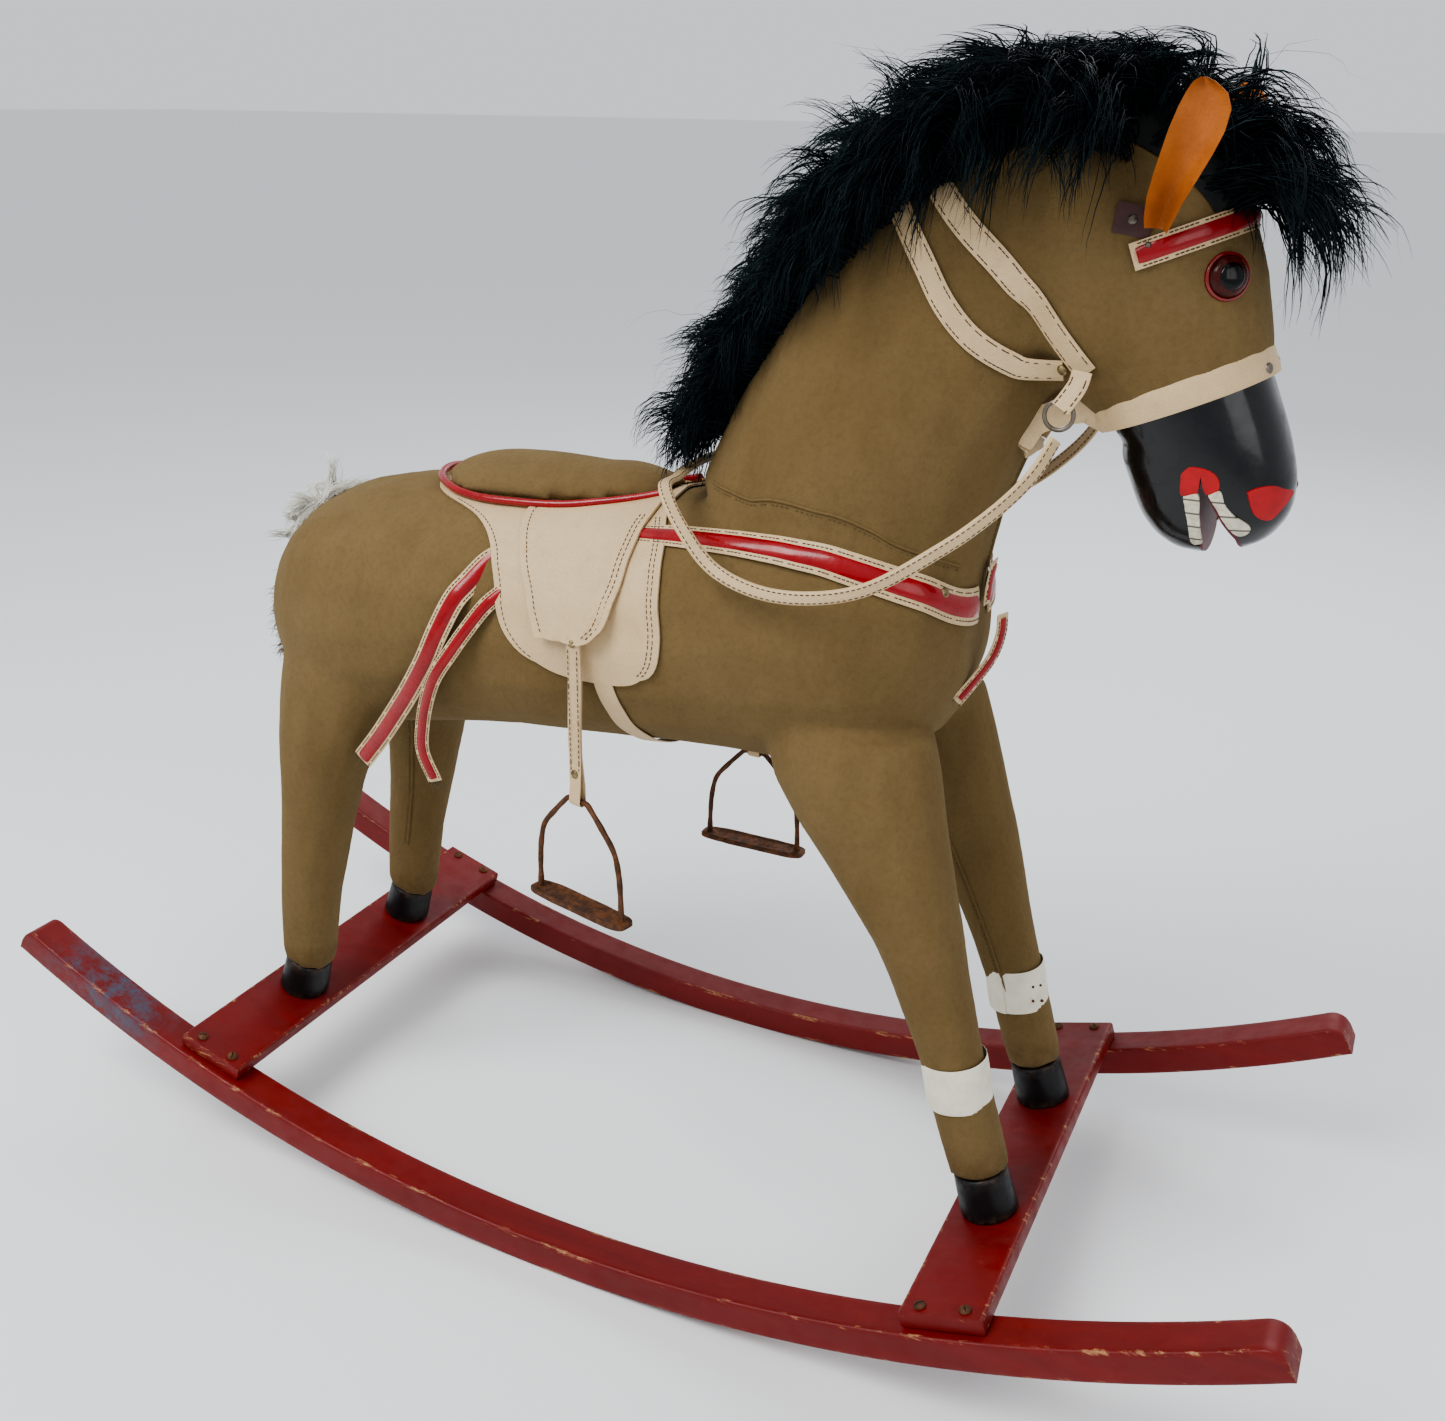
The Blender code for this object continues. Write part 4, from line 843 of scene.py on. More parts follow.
def leg_bands(material, staple):
    for side_name, s, low, high in (("right", -1, 0.177, 0.214), ("left", 1, 0.173, 0.210)):
        height = (low + high) / 2
        box = [Vector(c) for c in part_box(f"leg_band_{side_name}")]
        centre = (box[0] + box[1]) / 2
        centre.z = height
        lean = Matrix.Rotation(math.radians(-12), 3, "Y")
        route = []
        for k in range(39):
            a = math.radians(-118 * s + k * 10 * s)
            out = lean @ Vector((math.cos(a), math.sin(a), 0))
            spot, _, _, _ = SKIN.ray_cast(centre + out * 0.06, -out)
            route.append((spot, out))
        frames = []
        last = len(route) - 1
        axis = lean @ Z
        for i, (spot, out) in enumerate(route):
            along = (route[min(i + 1, last)][0] - route[max(i - 1, 0)][0]).normalized()
            lap = 0.0010 * max(0.0, (i - 34) / 4)
            frames.append((spot + out * lap, along, axis, along.cross(-axis).normalized() * -1))
        for i, (spot, along, side, normal) in enumerate(frames):
            if normal.dot(route[i][1]) < 0:
                frames[i] = (spot, along, side, -normal)
        band = strap(f"leg_wrap_{side_name}", frames, high - low, 0.0009, 0.0006, material, columns=10)
        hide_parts(f"leg_band_{side_name}")
        if side_name == "left":
            spots = ((-22, 0.007), (-22, -0.006), (-40, 0.008), (-40, -0.004))
            for n, (turn, up) in enumerate(spots):
                a = math.radians(turn)
                out = Vector((math.cos(a), math.sin(a), 0))
                spot, normal, _, _ = SKIN.ray_cast(centre + Z * up + out * 0.06, -out)
                stud(f"leg_wrap_nail_{n}", spot + normal * 0.0013, normal, 0.0012, staple)


# ---- saddle ----

SKIRT_ROWS = ((0, -0.188, 0.026), (15, -0.186, 0.029), (27, -0.172, 0.034), (34, -0.142, 0.040), (43, -0.113, 0.048),
              (54, -0.096, 0.053), (68, -0.084, 0.057), (76, -0.080, 0.060), (83, -0.077, 0.061), (90, -0.068, 0.058),
              (94, -0.057, 0.054), (97, -0.046, 0.048), (99, -0.036, 0.040), (100.3, -0.024, 0.030), (101, -0.010, 0.018))
KNEE_ROWS = ((15, 0.008, 0.026), (20, -0.020, 0.026), (24, -0.052, 0.026), (28, -0.084, 0.026), (37, -0.082, 0.026), (50, -0.073, 0.026), (59, -0.065, 0.026), (70, -0.053, 0.023),
             (78, -0.045, 0.019), (83, -0.040, 0.014), (85.5, -0.037, 0.001))
AXIS_HEIGHT = 0.488


def torso_spot(x, degrees):
    """Spot and normal on the plush, looking in at an angle from the top, negative to the right."""
    a = math.radians(degrees)
    out = Vector((0, math.sin(a), math.cos(a)))
    spot, normal, _, _ = SKIN.ray_cast(Vector((x, 0, AXIS_HEIGHT)) + out * 0.2, -out)
    return spot, normal


def row_at(rows, angle):
    """Rear and front x of a sheet at an angle, with its outline's corners rounded."""
    table = np.array(rows, float)
    reach = max(0.0, min(4.5, table[-1, 0] - angle, angle - table[0, 0]))
    near = np.clip(angle + reach * np.array((-1, -0.5, 0, 0.5, 1)), table[0, 0], table[-1, 0])
    return float(np.interp(near, table[:, 0], table[:, 1]).mean()), float(np.interp(near, table[:, 0], table[:, 2]).mean())


def laid_sheet(name, angles, edges, lift, thickness, material, across=30, curl=None):
    """A sheet laid on the torso. edges(angle) gives its rear and front x."""
    grid = []
    for angle in angles:
        x0, x1 = edges(abs(angle))
        row = []
        for k in range(across + 1):
            x = x0 + (x1 - x0) * k / across
            spot, normal = torso_spot(x, angle)
            extra = curl(angle, k / across) if curl else 0.0
            row.append((spot, normal, lift + extra))
        grid.append(row)
    points, faces = [], []
    count = across + 1
    for level in (0.0, thickness):
        for row in grid:
            points += [spot + normal * (height + level) for spot, normal, height in row]
    rows = len(grid)
    total = rows * count
    for i in range(rows - 1):
        for k in range(across):
            a, b = i * count + k, (i + 1) * count + k
            faces.append((a, a + 1, b + 1, b))
            faces.append((total + a, total + b, total + b + 1, total + a + 1))
    border = list(range(count)) + [i * count + across for i in range(1, rows)]
    border += [(rows - 1) * count + k for k in range(across - 1, -1, -1)] + [i * count for i in range(rows - 2, 0, -1)]
    for a, b in zip(border, border[1:] + border[:1]):
        faces.append((a, b, total + b, total + a))
    obj = new_object(name, points, faces, material)
    tidy_normals(obj)
    area = sum((grid[i + 1][0][0] - grid[i][0][0]).length for i in range(rows - 1))
    return obj, grid, area


def outline_run(rows, inset, angles, side, height, edge):
    """Stitch run a fixed distance inside one edge of a laid sheet."""
    spots = []
    for angle in angles:
        x0, x1 = row_at(rows, angle)
        x = x0 + inset if edge == "rear" else x1 - inset
        spot, normal = torso_spot(x, angle * side)
        spots.append((spot + normal * height, normal))
    run = []
    for (a, n), (b, _) in zip(spots, spots[1:]):
        steps = max(1, round((b - a).length / 0.0008))
        for k in range(steps):
            run.append((a.lerp(b, k / steps), (b - a).normalized(), n))
    return run


def saddle(vinyl, thread):
    half = [a * 2.0 for a in range(1, 45)] + [90 + a * 0.5 for a in range(23)]
    angles = [-a for a in reversed(half)] + [0.0] + half
    skirt, _, _ = laid_sheet("saddle_skirt_sheet", angles, lambda a: row_at(SKIRT_ROWS, a), 0.0012, 0.0016, vinyl, 34)
    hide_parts("saddle_skirt")
    runs = []
    for _, s in SIDES:
        fine = [a * 1.0 for a in range(30, 96)]
        runs.append(outline_run(SKIRT_ROWS, 0.0055, fine, s, 0.0029, "rear"))
        runs.append(outline_run(SKIRT_ROWS, 0.0055, fine, s, 0.0029, "front"))
        runs.append(outline_run(SKIRT_ROWS, 0.0090, fine, s, 0.0029, "front"))
    stitches("saddle_skirt_stitches", runs, thread)
    for side_name, s in SIDES:
        rows = [15 + k * 70.5 / 60 for k in range(61)]
        torn = 0.004 if s < 0 else 0.0

        def lifted(angle, t):
            low = max(0.0, (abs(angle) - 60) / 25) ** 1.6
            corner = torn * max(0.0, t - 0.55) * low * 2.2
            return 0.0068 * low + corner + 0.0008 * math.sin(t * 17 + angle * 0.2) * low

        flap, _, _ = laid_sheet(f"knee_flap_{side_name}_sheet", [a * s for a in rows], lambda a: row_at(KNEE_ROWS, a),
                                0.0040, 0.0016, vinyl, 26, lifted)
        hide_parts(f"knee_flap_{side_name}")
        runs = []
        for edge, inset in (("rear", 0.0060), ("front", 0.0050), ("front", 0.0090)):
            run = outline_run(KNEE_ROWS, inset, [30 + k for k in range(54)], s, 0.0, edge)
            placed = []
            for p, along, normal in run:
                away = math.degrees(math.atan2(abs(p.y), p.z - AXIS_HEIGHT))
                placed.append((p + normal * (0.0058 + lifted(away, 0.1 if edge == "rear" else 0.9)), along, normal))
            runs.append(placed)
        stitches(f"knee_flap_{side_name}_stitches", runs, thread)


PAD_REAR, PAD_FRONT, PAD_ANGLE, PAD_HEIGHT = -0.186, 0.022, 29.0, 0.019


def pad_edges(t):
    """Rear and front x of the seat, t of the way from its middle to its side."""
    return PAD_REAR + 0.040 * t**3, PAD_FRONT - 0.008 * t**2


def pad_half(x):
    """Angle at the torso's axis from the seat's middle to its side; it narrows to the front."""
    t = min(1.0, max(0.0, (PAD_FRONT - x) / 0.135))
    return 12.5 + (PAD_ANGLE - 12.5) * (2 - t) * t


def inflate(obj, pressure, cap, frames=18):
    """Swells a closed mesh with a cloth simulation, each point by `cap` at most."""
    remesh(obj, 0.0045)
    start = coordinates(obj.data)
    step = obj.modifiers.new("cloth", "CLOTH")
    step.settings.use_pressure = True
    step.settings.uniform_pressure_force = pressure
    step.settings.quality = 5
    step.settings.mass = 0.25
    step.settings.tension_stiffness = 22
    step.settings.compression_stiffness = 22
    step.settings.bending_stiffness = 1.5
    step.settings.effector_weights.gravity = 0
    step.point_cache.frame_start, step.point_cache.frame_end = 1, frames
    for number in range(1, frames + 1):
        bpy.context.scene.frame_set(number)
    mesh = evaluated_mesh(obj)
    moved = coordinates(mesh) - start
    far = np.linalg.norm(moved, axis=1, keepdims=True)
    place = start + moved * np.minimum(1, cap / np.maximum(far, 1e-9))
    obj.modifiers.clear()
    bpy.context.scene.frame_set(1)
    obj.data.vertices.foreach_set("co", place.ravel())
    obj.data.update()
    return obj


def seat(plush, piping):
    points, faces = [], []
    rows, across = 29, 40
    for level in (0, 1):
        for i in range(rows):
            v = 2 * i / (rows - 1) - 1
            x0, x1 = pad_edges(abs(v))
            for k in range(across + 1):
                x = x0 + (x1 - x0) * k / across
                spot, normal = torso_spot(x, v * pad_half(x))
                t = abs(2 * k / across - 1)
                crown = (1 - abs(v) ** 2.6) * (1 - t**4.5)
                points.append(spot + normal * (0.0032 + level * (0.0022 + PAD_HEIGHT * 0.8 * crown ** 0.75)))
    count = across + 1
    total = rows * count
    for i in range(rows - 1):
        for k in range(across):
            a, b = i * count + k, (i + 1) * count + k
            faces.append((a, a + 1, b + 1, b))
            faces.append((total + a, total + b, total + b + 1, total + a + 1))
    border = list(range(count)) + [i * count + across for i in range(1, rows)]
    border += [(rows - 1) * count + k for k in range(across - 1, -1, -1)] + [i * count for i in range(rows - 2, 0, -1)]
    for a, b in zip(border, border[1:] + border[:1]):
        faces.append((a, b, total + b, total + a))
    pad = new_object("seat_cushion", points, faces, plush)
    tidy_normals(pad)
    inflate(pad, 3.0, 0.0035)
    smoothed(pad, 0.5, 3)
    add_attribute(pad.data, "wear", np.zeros(len(pad.data.vertices)))
    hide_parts("seat_pad")
    edge = []
    sides = [(-2.0 - pad_half(x), x) for x in (0.024, 0.008, -0.010, -0.030, -0.050, -0.070, -0.095, -0.125)]
    for angle, x in sides + [(-28, -0.150), (-22, -0.171), (-12, -0.186), (0, -0.191)]:
        spot, normal = torso_spot(x, angle)
        edge.append(spot + normal * 0.0066)
    path = edge + [Vector((p.x, -p.y, p.z)) for p in reversed(edge[:-1])]
    cord = tube("seat_piping_round", spline(path, 0.003), 0.0031, piping, sides=12)
    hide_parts("seat_piping")


# ---- stirrups ----

LEATHER_Y, LEATHER_TOP, LEATHER_WIDTH = 0.120, 0.503, 0.011
IRON_LOOP = {"right": (-0.005, 0.374, math.radians(-14)), "left": (0.030, 0.326, 0.0)}
IRON_HALF = ((0.0095, 0.0), (0.0150, -0.005), (0.0260, -0.017), (0.0370, -0.031),
             (0.0415, -0.048), (0.0430, -0.066), (0.0435, -0.088))
IRON_WIRE = 0.0022


def stirrup(side_name, side, vinyl, rust, brass, thread):
    x, loop, turn = IRON_LOOP[side_name]
    y = side * LEATHER_Y
    body = f"leather_{side_name}"
    swivel = Matrix.Rotation(turn, 3, "Z")
    across = swivel @ X
    facing = swivel @ Y * side
    bar = Vector((x, y, loop))
    radius = IRON_WIRE + 0.0010
    front, back = [], []
    for k in range(21):
        t = k / 20
        z = LEATHER_TOP - (LEATHER_TOP - loop - 0.012) * t
        sway = 0.0007 * math.sin(t * 7)
        turned = X.lerp(across, t**3).normalized()
        gap = 0.0007 + 0.0018 * max(0.0, t - 0.8) * 5
        place = Vector((x + sway, y, z))
        front.append((place, turned, gap))
        back.append((place, turned, -gap))
    loop_points = []
    for k in range(11):
        a = math.radians(20 - 22 * k)
        loop_points.append((bar + facing * math.cos(a) * radius + Z * math.sin(a) * radius, across))
    route = [(p + (t.cross(Z) * -1).normalized() * gap * side, t) for p, t, gap in front]
    route += loop_points
    route += [(p + (t.cross(Z) * -1).normalized() * gap * side, t) for p, t, gap in reversed(back)]
    frames = []
    last = len(route) - 1
    for i, (p, wide) in enumerate(route):
        along = (route[min(i + 1, last)][0] - route[max(i - 1, 0)][0]).normalized()
        normal = wide.cross(along).normalized()
        frames.append((p, along, wide, normal))
    leather = strap(f"stirrup_strap_{side_name}", frames, LEATHER_WIDTH, 0.0012, -0.0006, vinyl, body)
    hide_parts(f"stirrup_leather_{side_name}")
    runs = []
    for offset in (-0.0037, 0.0037):
        run = []
        for k in range(50):
            z = LEATHER_TOP - 0.006 - (LEATHER_TOP - loop - 0.024) * k / 49
            t = (LEATHER_TOP - z) / (LEATHER_TOP - loop)
            turned = X.lerp(across, t**3).normalized()
            out = (turned.cross(Z) * -1).normalized() * side
            run.append((Vector((x, y, z)) + turned * offset + out * 0.0021, -Z, out))
        runs.append(run)
    stitches(f"stirrup_strap_{side_name}_stitches", runs, thread, body, pitch=0.0040)
    out = (across.cross(Z) * -1).normalized() * side
    stud(f"stirrup_strap_{side_name}_rivet", bar + Z * 0.0225 + out * 0.0022, out, 0.0034, brass, body)
    stud(f"stirrup_strap_{side_name}_top_rivet", Vector((x, y + side * 0.0018, LEATHER_TOP - 0.004)), Y * side, 0.0030, brass, body)
    iron_body = f"iron_{side_name}"
    half = [Vector((a, 0, b)) for a, b in IRON_HALF]
    arch = [Vector((-v.x, 0, v.z)) for v in reversed(half)] + [Vector((-0.003, 0, 0.0)), Vector((0.003, 0, 0.0))] + half
    path = [bar + swivel @ p for p in spline(arch, 0.0022)]

    def wire(t):
        return IRON_WIRE * (1 + 0.10 * math.sin(t * 61) * math.sin(t * 23) + 0.35 * max(0.0, abs(t - 0.5) - 0.44) * 10)

    iron = tube(f"stirrup_iron_{side_name}_wire", path, wire, rust, iron_body, sides=12)
    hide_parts(f"stirrup_iron_{side_name}")
    points, faces = [], []
    rings = ((0.94, -0.0912), (1.0, -0.0904), (1.0, -0.0874), (0.95, -0.0865), (0.86, -0.0865), (0.80, -0.0874), (0.62, -0.0876))
    for scale, z in rings:
        for k in range(48):
            a = 2 * math.pi * k / 48
            c, s = math.cos(a), math.sin(a)
            u = math.copysign(abs(c) ** 0.42, c) * 0.050 * scale
            v = math.copysign(abs(s) ** 0.42, s) * 0.0105 * (1 - (1 - scale) * 1.6)
            points.append(bar + swivel @ Vector((u, v, z + 0.0004 * noise.noise(Vector((u, v, z)) * 160))))
    for i in range(len(rings) - 1):
        a, b = i * 48, (i + 1) * 48
        faces += [(a + k, a + (k + 1) % 48, b + (k + 1) % 48, b + k) for k in range(48)]
    faces.append(tuple(range(48))[::-1])
    faces.append(tuple(range((len(rings) - 1) * 48, len(rings) * 48)))
    tread = new_object(f"stirrup_tread_{side_name}", points, faces, rust, iron_body)
    tidy_normals(tread)


# ---- bridle and harness ----

THROAT = ((0.300, -0.056, 0.697), (0.287, -0.056, 0.705), (0.269, -0.058, 0.714), (0.250, -0.060, 0.727), (0.233, -0.060, 0.746),
          (0.219, -0.058, 0.768), (0.204, -0.050, 0.788), (0.188, -0.033, 0.805), (0.176, 0, 0.812))
HEADSTALL = ((0.3225, -0.055, 0.7035), (0.302, -0.058, 0.728), (0.284, -0.060, 0.751), (0.266, -0.060, 0.771),
             (0.244, -0.056, 0.790), (0.225, -0.046, 0.808), (0.210, -0.026, 0.821), (0.204, 0, 0.826))
BREAST = ((0.012, -0.094, 0.604), (0.034, -0.096, 0.602), (0.056, -0.098, 0.599), (0.080, -0.100, 0.597), (0.106, -0.100, 0.594), (0.160, -0.100, 0.586), (0.213, -0.085, 0.570),
          (0.240, -0.065, 0.557), (0.255, -0.045, 0.546), (0.263, -0.025, 0.540), (0.267, -0.012, 0.538))
CHEST_DROP = ((0.272, 0, 0.530), (0.272, 0, 0.515), (0.268, -0.004, 0.498), (0.258, -0.010, 0.480), (0.249, -0.018, 0.466))
FLANK_OUTER = ((-0.091, -0.108, 0.567), (-0.099, -0.111, 0.549), (-0.108, -0.113, 0.530), (-0.116, -0.114, 0.512), (-0.128, -0.116, 0.486), (-0.140, -0.116, 0.461),
               (-0.158, -0.113, 0.434), (-0.178, -0.107, 0.409), (-0.202, -0.101, 0.380), (-0.226, -0.096, 0.353))
FLANK_INNER = ((-0.064, -0.1145, 0.549), (-0.076, -0.115, 0.531), (-0.0885, -0.1155, 0.512), (-0.102, -0.117, 0.492), (-0.115, -0.118, 0.472), (-0.129, -0.117, 0.452),
               (-0.141, -0.113, 0.430), (-0.151, -0.108, 0.405), (-0.157, -0.103, 0.378), (-0.150, -0.099, 0.352))
REIN = ((0.3145, -0.0690, 0.6690), (0.3050, -0.0800, 0.6480), (0.2860, -0.0900, 0.6250), (0.2560, -0.1020, 0.5990),
        (0.2080, -0.1140, 0.5680), (0.1540, -0.1190, 0.5580), (0.1090, -0.1190, 0.5680), (0.0800, -0.1150, 0.5940),
        (0.0560, -0.0940, 0.6140), (0.0440, -0.0560, 0.6120), (0.0390, -0.0200, 0.6130))
BIT_RING = (0.3140, 0.0650, 0.6835)


def mirror(points):
    return [(x, -y, z) for x, y, z in points]


def bordered(name, frames, width, thickness, lift, border, centre, thread, share=0.56, body=BODY, raised=0.0013):
    """A strap with a padded strip of another finish along its middle, sewn at both edges."""
    base = strap(name, frames, width, thickness, lift, border, body)
    half = (lambda t: width(t) * share) if callable(width) else width * share
    top = strap(f"{name}_middle", frames[1:-1], half, 0.0006, lift + thickness * 0.9, centre, body, crown=raised, columns=10, ends=0.9)
    runs = []
    for s in (-1, 1):
        run = []
        last = len(frames) - 1
        for i, (p, along, side, normal) in enumerate(frames):
            wide = width(i / last) if callable(width) else width
            run.append((p + side * s * wide * (share / 2 + 0.10) + normal * (lift + thickness), along, normal))
        runs.append(run)
    stitches(f"{name}_stitches", runs, thread, body, pitch=0.0036, length=0.0024)
    return base, top


def head_loop(middle, forward, radius, start, stop, steps):
    """Route round the head; 0 degrees lies along `forward`, positive to the left."""
    route = []
    for i in range(steps + 1):
        a = math.radians(start + (stop - start) * i / steps)
        out = (forward * math.cos(a) + Y * math.sin(a)).normalized()
        spot, normal, _, _ = SKIN.ray_cast(middle + out * radius * 2.2, -out)
        if spot is None:
            spot = middle + out * radius
        route.append(spot)
    return route


def levelled(frames, up):
    """Frames turned so that their sides lie along `up`, as a band's do round a cone."""
    made = []
    for place, along, side, normal in frames:
        level = (up - along * up.dot(along)).normalized()
        out = along.cross(level).normalized()
        if out.dot(normal) < 0:
            out = -out
        made.append((place, along, out.cross(along).normalized(), out))
    return made


def bridle(vinyl, red, brass, steel, thread):
    forward = Vector((0.913, 0, 0.407))
    up = Vector((-0.407, 0, 0.913))
    route = head_loop(Vector((0.378, 0, 0.697)), forward, 0.055, -176, 184, 60)
    frames = levelled(on_skin(route, 0.003, 4), up)
    band = strap("noseband_loop", frames, 0.0175, 0.0015, 0.0012, vinyl)
    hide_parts("noseband")
    forward = Vector((0.93, 0, 0.367))
    route = head_loop(Vector((0.322, 0, 0.768)), forward, 0.080, -66, 66, 40)
    frames = levelled(on_skin(route, 0.003, 4), Vector((-0.367, 0, 0.93)))
    base, middle = bordered("browband_strap", frames, 0.0160, 0.0014, 0.0014, vinyl, red, thread, share=0.62)
    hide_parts("browband")
    for name, half, width, lift in (("headstall", HEADSTALL, 0.0165, 0.0012), ("throat_strap", THROAT, 0.0150, 0.0018)):
        route = list(half) + mirror(reversed(half[:-1]))
        frames = on_skin(route, 0.0032, 6)
        band = strap(f"{name}_loop", frames, width, 0.0015, lift, vinyl)
        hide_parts(name)
        edge = width / 2 - 0.0022
        stitches(f"{name}_stitches", [offset_run(frames, o, lift + 0.0014) for o in (-edge, edge)], thread)
    for side_name, s in SIDES:
        tip, normal = skin_at((0.300, s * 0.062, 0.697))
        stud(f"throat_rivet_{side_name}", tip + normal * 0.0036, normal, 0.0036, brass)
        spot, normal = skin_at((0.430, s * 0.020, 0.7145))
        stud(f"noseband_nail_{side_name}", spot + normal * 0.0030, normal, 0.0038, steel)
        hang = [(0.3245, s * 0.0595, 0.7100), (0.3230, s * 0.0620, 0.7020), (0.3185, s * 0.0650, 0.6935), (0.3150, s * 0.0675, 0.6880)]
        frames = free_frames(hang, (-0.2, s, 0.1), 0.002)
        tab = strap(f"bit_tab_{side_name}", frames, 0.0130, 0.0020, -0.0004, vinyl)
        stitches(f"bit_tab_{side_name}_stitches", [offset_run(frames, o, 0.0017) for o in (-0.0045, 0.0045)], thread)
        centre = Vector((BIT_RING[0], s * BIT_RING[1], BIT_RING[2]))
        circle = [centre + Vector((0.0090 * math.cos(2 * math.pi * k / 36), 0, 0.0090 * math.sin(2 * math.pi * k / 36))) for k in range(36)]
        ring = tube(f"bit_ring_{side_name}_wire", circle, 0.0014, steel, sides=10, closed=True)
        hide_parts(f"bit_ring_{side_name}")


def harness(vinyl, red, brass, thread, fray):
    for side_name, s in SIDES:
        route = BREAST if s < 0 else mirror(BREAST)
        frames = on_skin(route, 0.0032, 8)
        base, middle = bordered(f"breast_strap_{side_name}", frames, lambda t: 0.0165 + 0.0095 * t, 0.0015, 0.0012, vinyl, red, thread)
        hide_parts(f"breast_band_{side_name}")
        spot, normal = skin_at((0.247, s * 0.052, 0.556))
        stud(f"breast_stud_{side_name}", spot + normal * 0.0032, normal, 0.0038, brass)
    frames = on_skin([(0.271, -0.001, 0.566), (0.273, 0, 0.552), (0.273, 0, 0.536)], 0.003, 4)
    base, middle = bordered("chest_loop", frames, 0.0150, 0.0015, 0.0042, vinyl, red, thread)
    frames = free_frames(CHEST_DROP, (0.85, -0.35, 0.1), 0.003)
    base, middle = bordered("chest_drop", frames, 0.0120, 0.0014, 0.0006, vinyl, red, thread, share=0.5)
    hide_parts("chest_strap")
    for name, route, width, drop in (("outer", FLANK_OUTER, 0.0180, 0.0010), ("inner", FLANK_INNER, 0.0125, 0.0030)):
        stand_off = (-0.0045, -0.0035, 0.0002, 0.0040, 0.0065)
        laid = [spot + normal * off for (spot, normal), off in zip(map(skin_at, route), stand_off)]
        frames = free_frames(laid + list(route[len(laid):]), (0.12, -1, 0.10), 0.003)
        base, middle = bordered(f"flank_{name}", frames, width, 0.0013, drop, vinyl, red, thread, share=0.60)
        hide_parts(f"flank_strap_{name}")
        place, along, side, normal = frames[-1]
        for n in range(16):
            offset = side * width * (n / 15 - 0.5) * 0.9
            length = random.uniform(0.006, 0.014)
            path = [place + offset + normal * drop + along * length * t + Vector((0, random.uniform(-1, 1), random.uniform(-1, 0.5))) * 0.002 * t
                    for t in (0, 0.5, 1)]
            tube(f"flank_{name}_thread_{n}", path, lambda t: 0.00035 * (1.15 - t), fray, sides=5)
    belly = []
    for k in range(48):
        angle = -84 - (360 - 2 * 84) * k / 47
        away = min(abs(angle), 360 - abs(angle))
        x = 0.006 + 0.022 * min((away - 84) / 60, 1.0)
        a = math.radians(angle)
        out = Vector((0, math.sin(a), math.cos(a)))
        spot, _, _, _ = SKIN.ray_cast(Vector((x, 0, AXIS_HEIGHT)) + out * 0.2, -out)
        belly.append(spot)
    frames = on_skin(belly, 0.004, 4)
    band = strap("girth_band", frames, 0.0150, 0.0015, 0.0012, vinyl)
    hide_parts("girth")


def reins(vinyl, thread):
    """One flat doubled strap from ring to ring over the withers."""
    half = list(REIN)
    route = half + mirror(reversed(half))
    path = spline(route, 0.004)
    last = len(path) - 1
    facing = []
    for i, p in enumerate(path):
        t = abs(2 * i / last - 1)
        out = Vector((0.10, p.y, 0.0)).normalized() if t > 0.25 else Vector((0.1, p.y * 4, 0.5)).normalized()
        flat = min(1.0, max(0.0, (0.42 - t) / 0.25))
        facing.append(out.lerp(Z, flat * 0.85).normalized())
    frames = frames_along(path, averaged(facing, 6))
    strip = strap("reins_strap", frames, 0.0095, 0.0032, -0.0016, vinyl, columns=10)
    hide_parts("reins")
    runs = [offset_run(frames, o, h) for o in (-0.0030, 0.0030) for h in (0.0016, -0.0016)]
    stitches("reins_stitches", runs, thread, pitch=0.0038, length=0.0026)


# ---- muzzle, eyes and ears ----

MUZZLE = ((0.3790, 0.6935, 25, 0.0495, 0.0448), (0.3817, 0.6876, 24, 0.0500, 0.0448), (0.3960, 0.6560, 21, 0.0500, 0.0440),
          (0.4050, 0.6320, 18, 0.0485, 0.0410), (0.4100, 0.6150, 14, 0.0420, 0.0355), (0.4115, 0.6030, 12, 0.0300, 0.0255),
          (0.4120, 0.5975, 12, 0.0150, 0.0130), (0.4120, 0.5965, 12, 0.0020, 0.0020))
NOTCH = ((0.3991, 0.6508), (0.3985, 0.6400), (0.4010, 0.6240), (0.4035, 0.6040), (0.4040, 0.5900),
         (0.4290, 0.5900), (0.4225, 0.6105), (0.4140, 0.6220), (0.4060, 0.6350), (0.4010, 0.6440))
RED_LIP = ((0.3871, 0.6511), (0.3900, 0.6548), (0.3931, 0.6564), (0.4020, 0.6557), (0.4091, 0.6514), (0.4107, 0.6435),
           (0.4041, 0.6399), (0.3995, 0.6405), (0.3911, 0.6375), (0.3878, 0.6390))
TEETH = (((0.3902, 0.6376), (0.3990, 0.6395), (0.4010, 0.6252), (0.4033, 0.6091), (0.4033, 0.6068), (0.3975, 0.6060), (0.3944, 0.6206)),
         ((0.4046, 0.6399), (0.4113, 0.6430), (0.4150, 0.6350), (0.4204, 0.6286), (0.4307, 0.6206), (0.4251, 0.6141),
          (0.4170, 0.6212), (0.4108, 0.6308)))
NOSTRIL = ((0.4260, 0.6431), (0.4314, 0.6460), (0.4398, 0.6470), (0.4455, 0.6443), (0.4503, 0.6404), (0.4454, 0.6306),
           (0.4399, 0.6247), (0.4317, 0.6289))


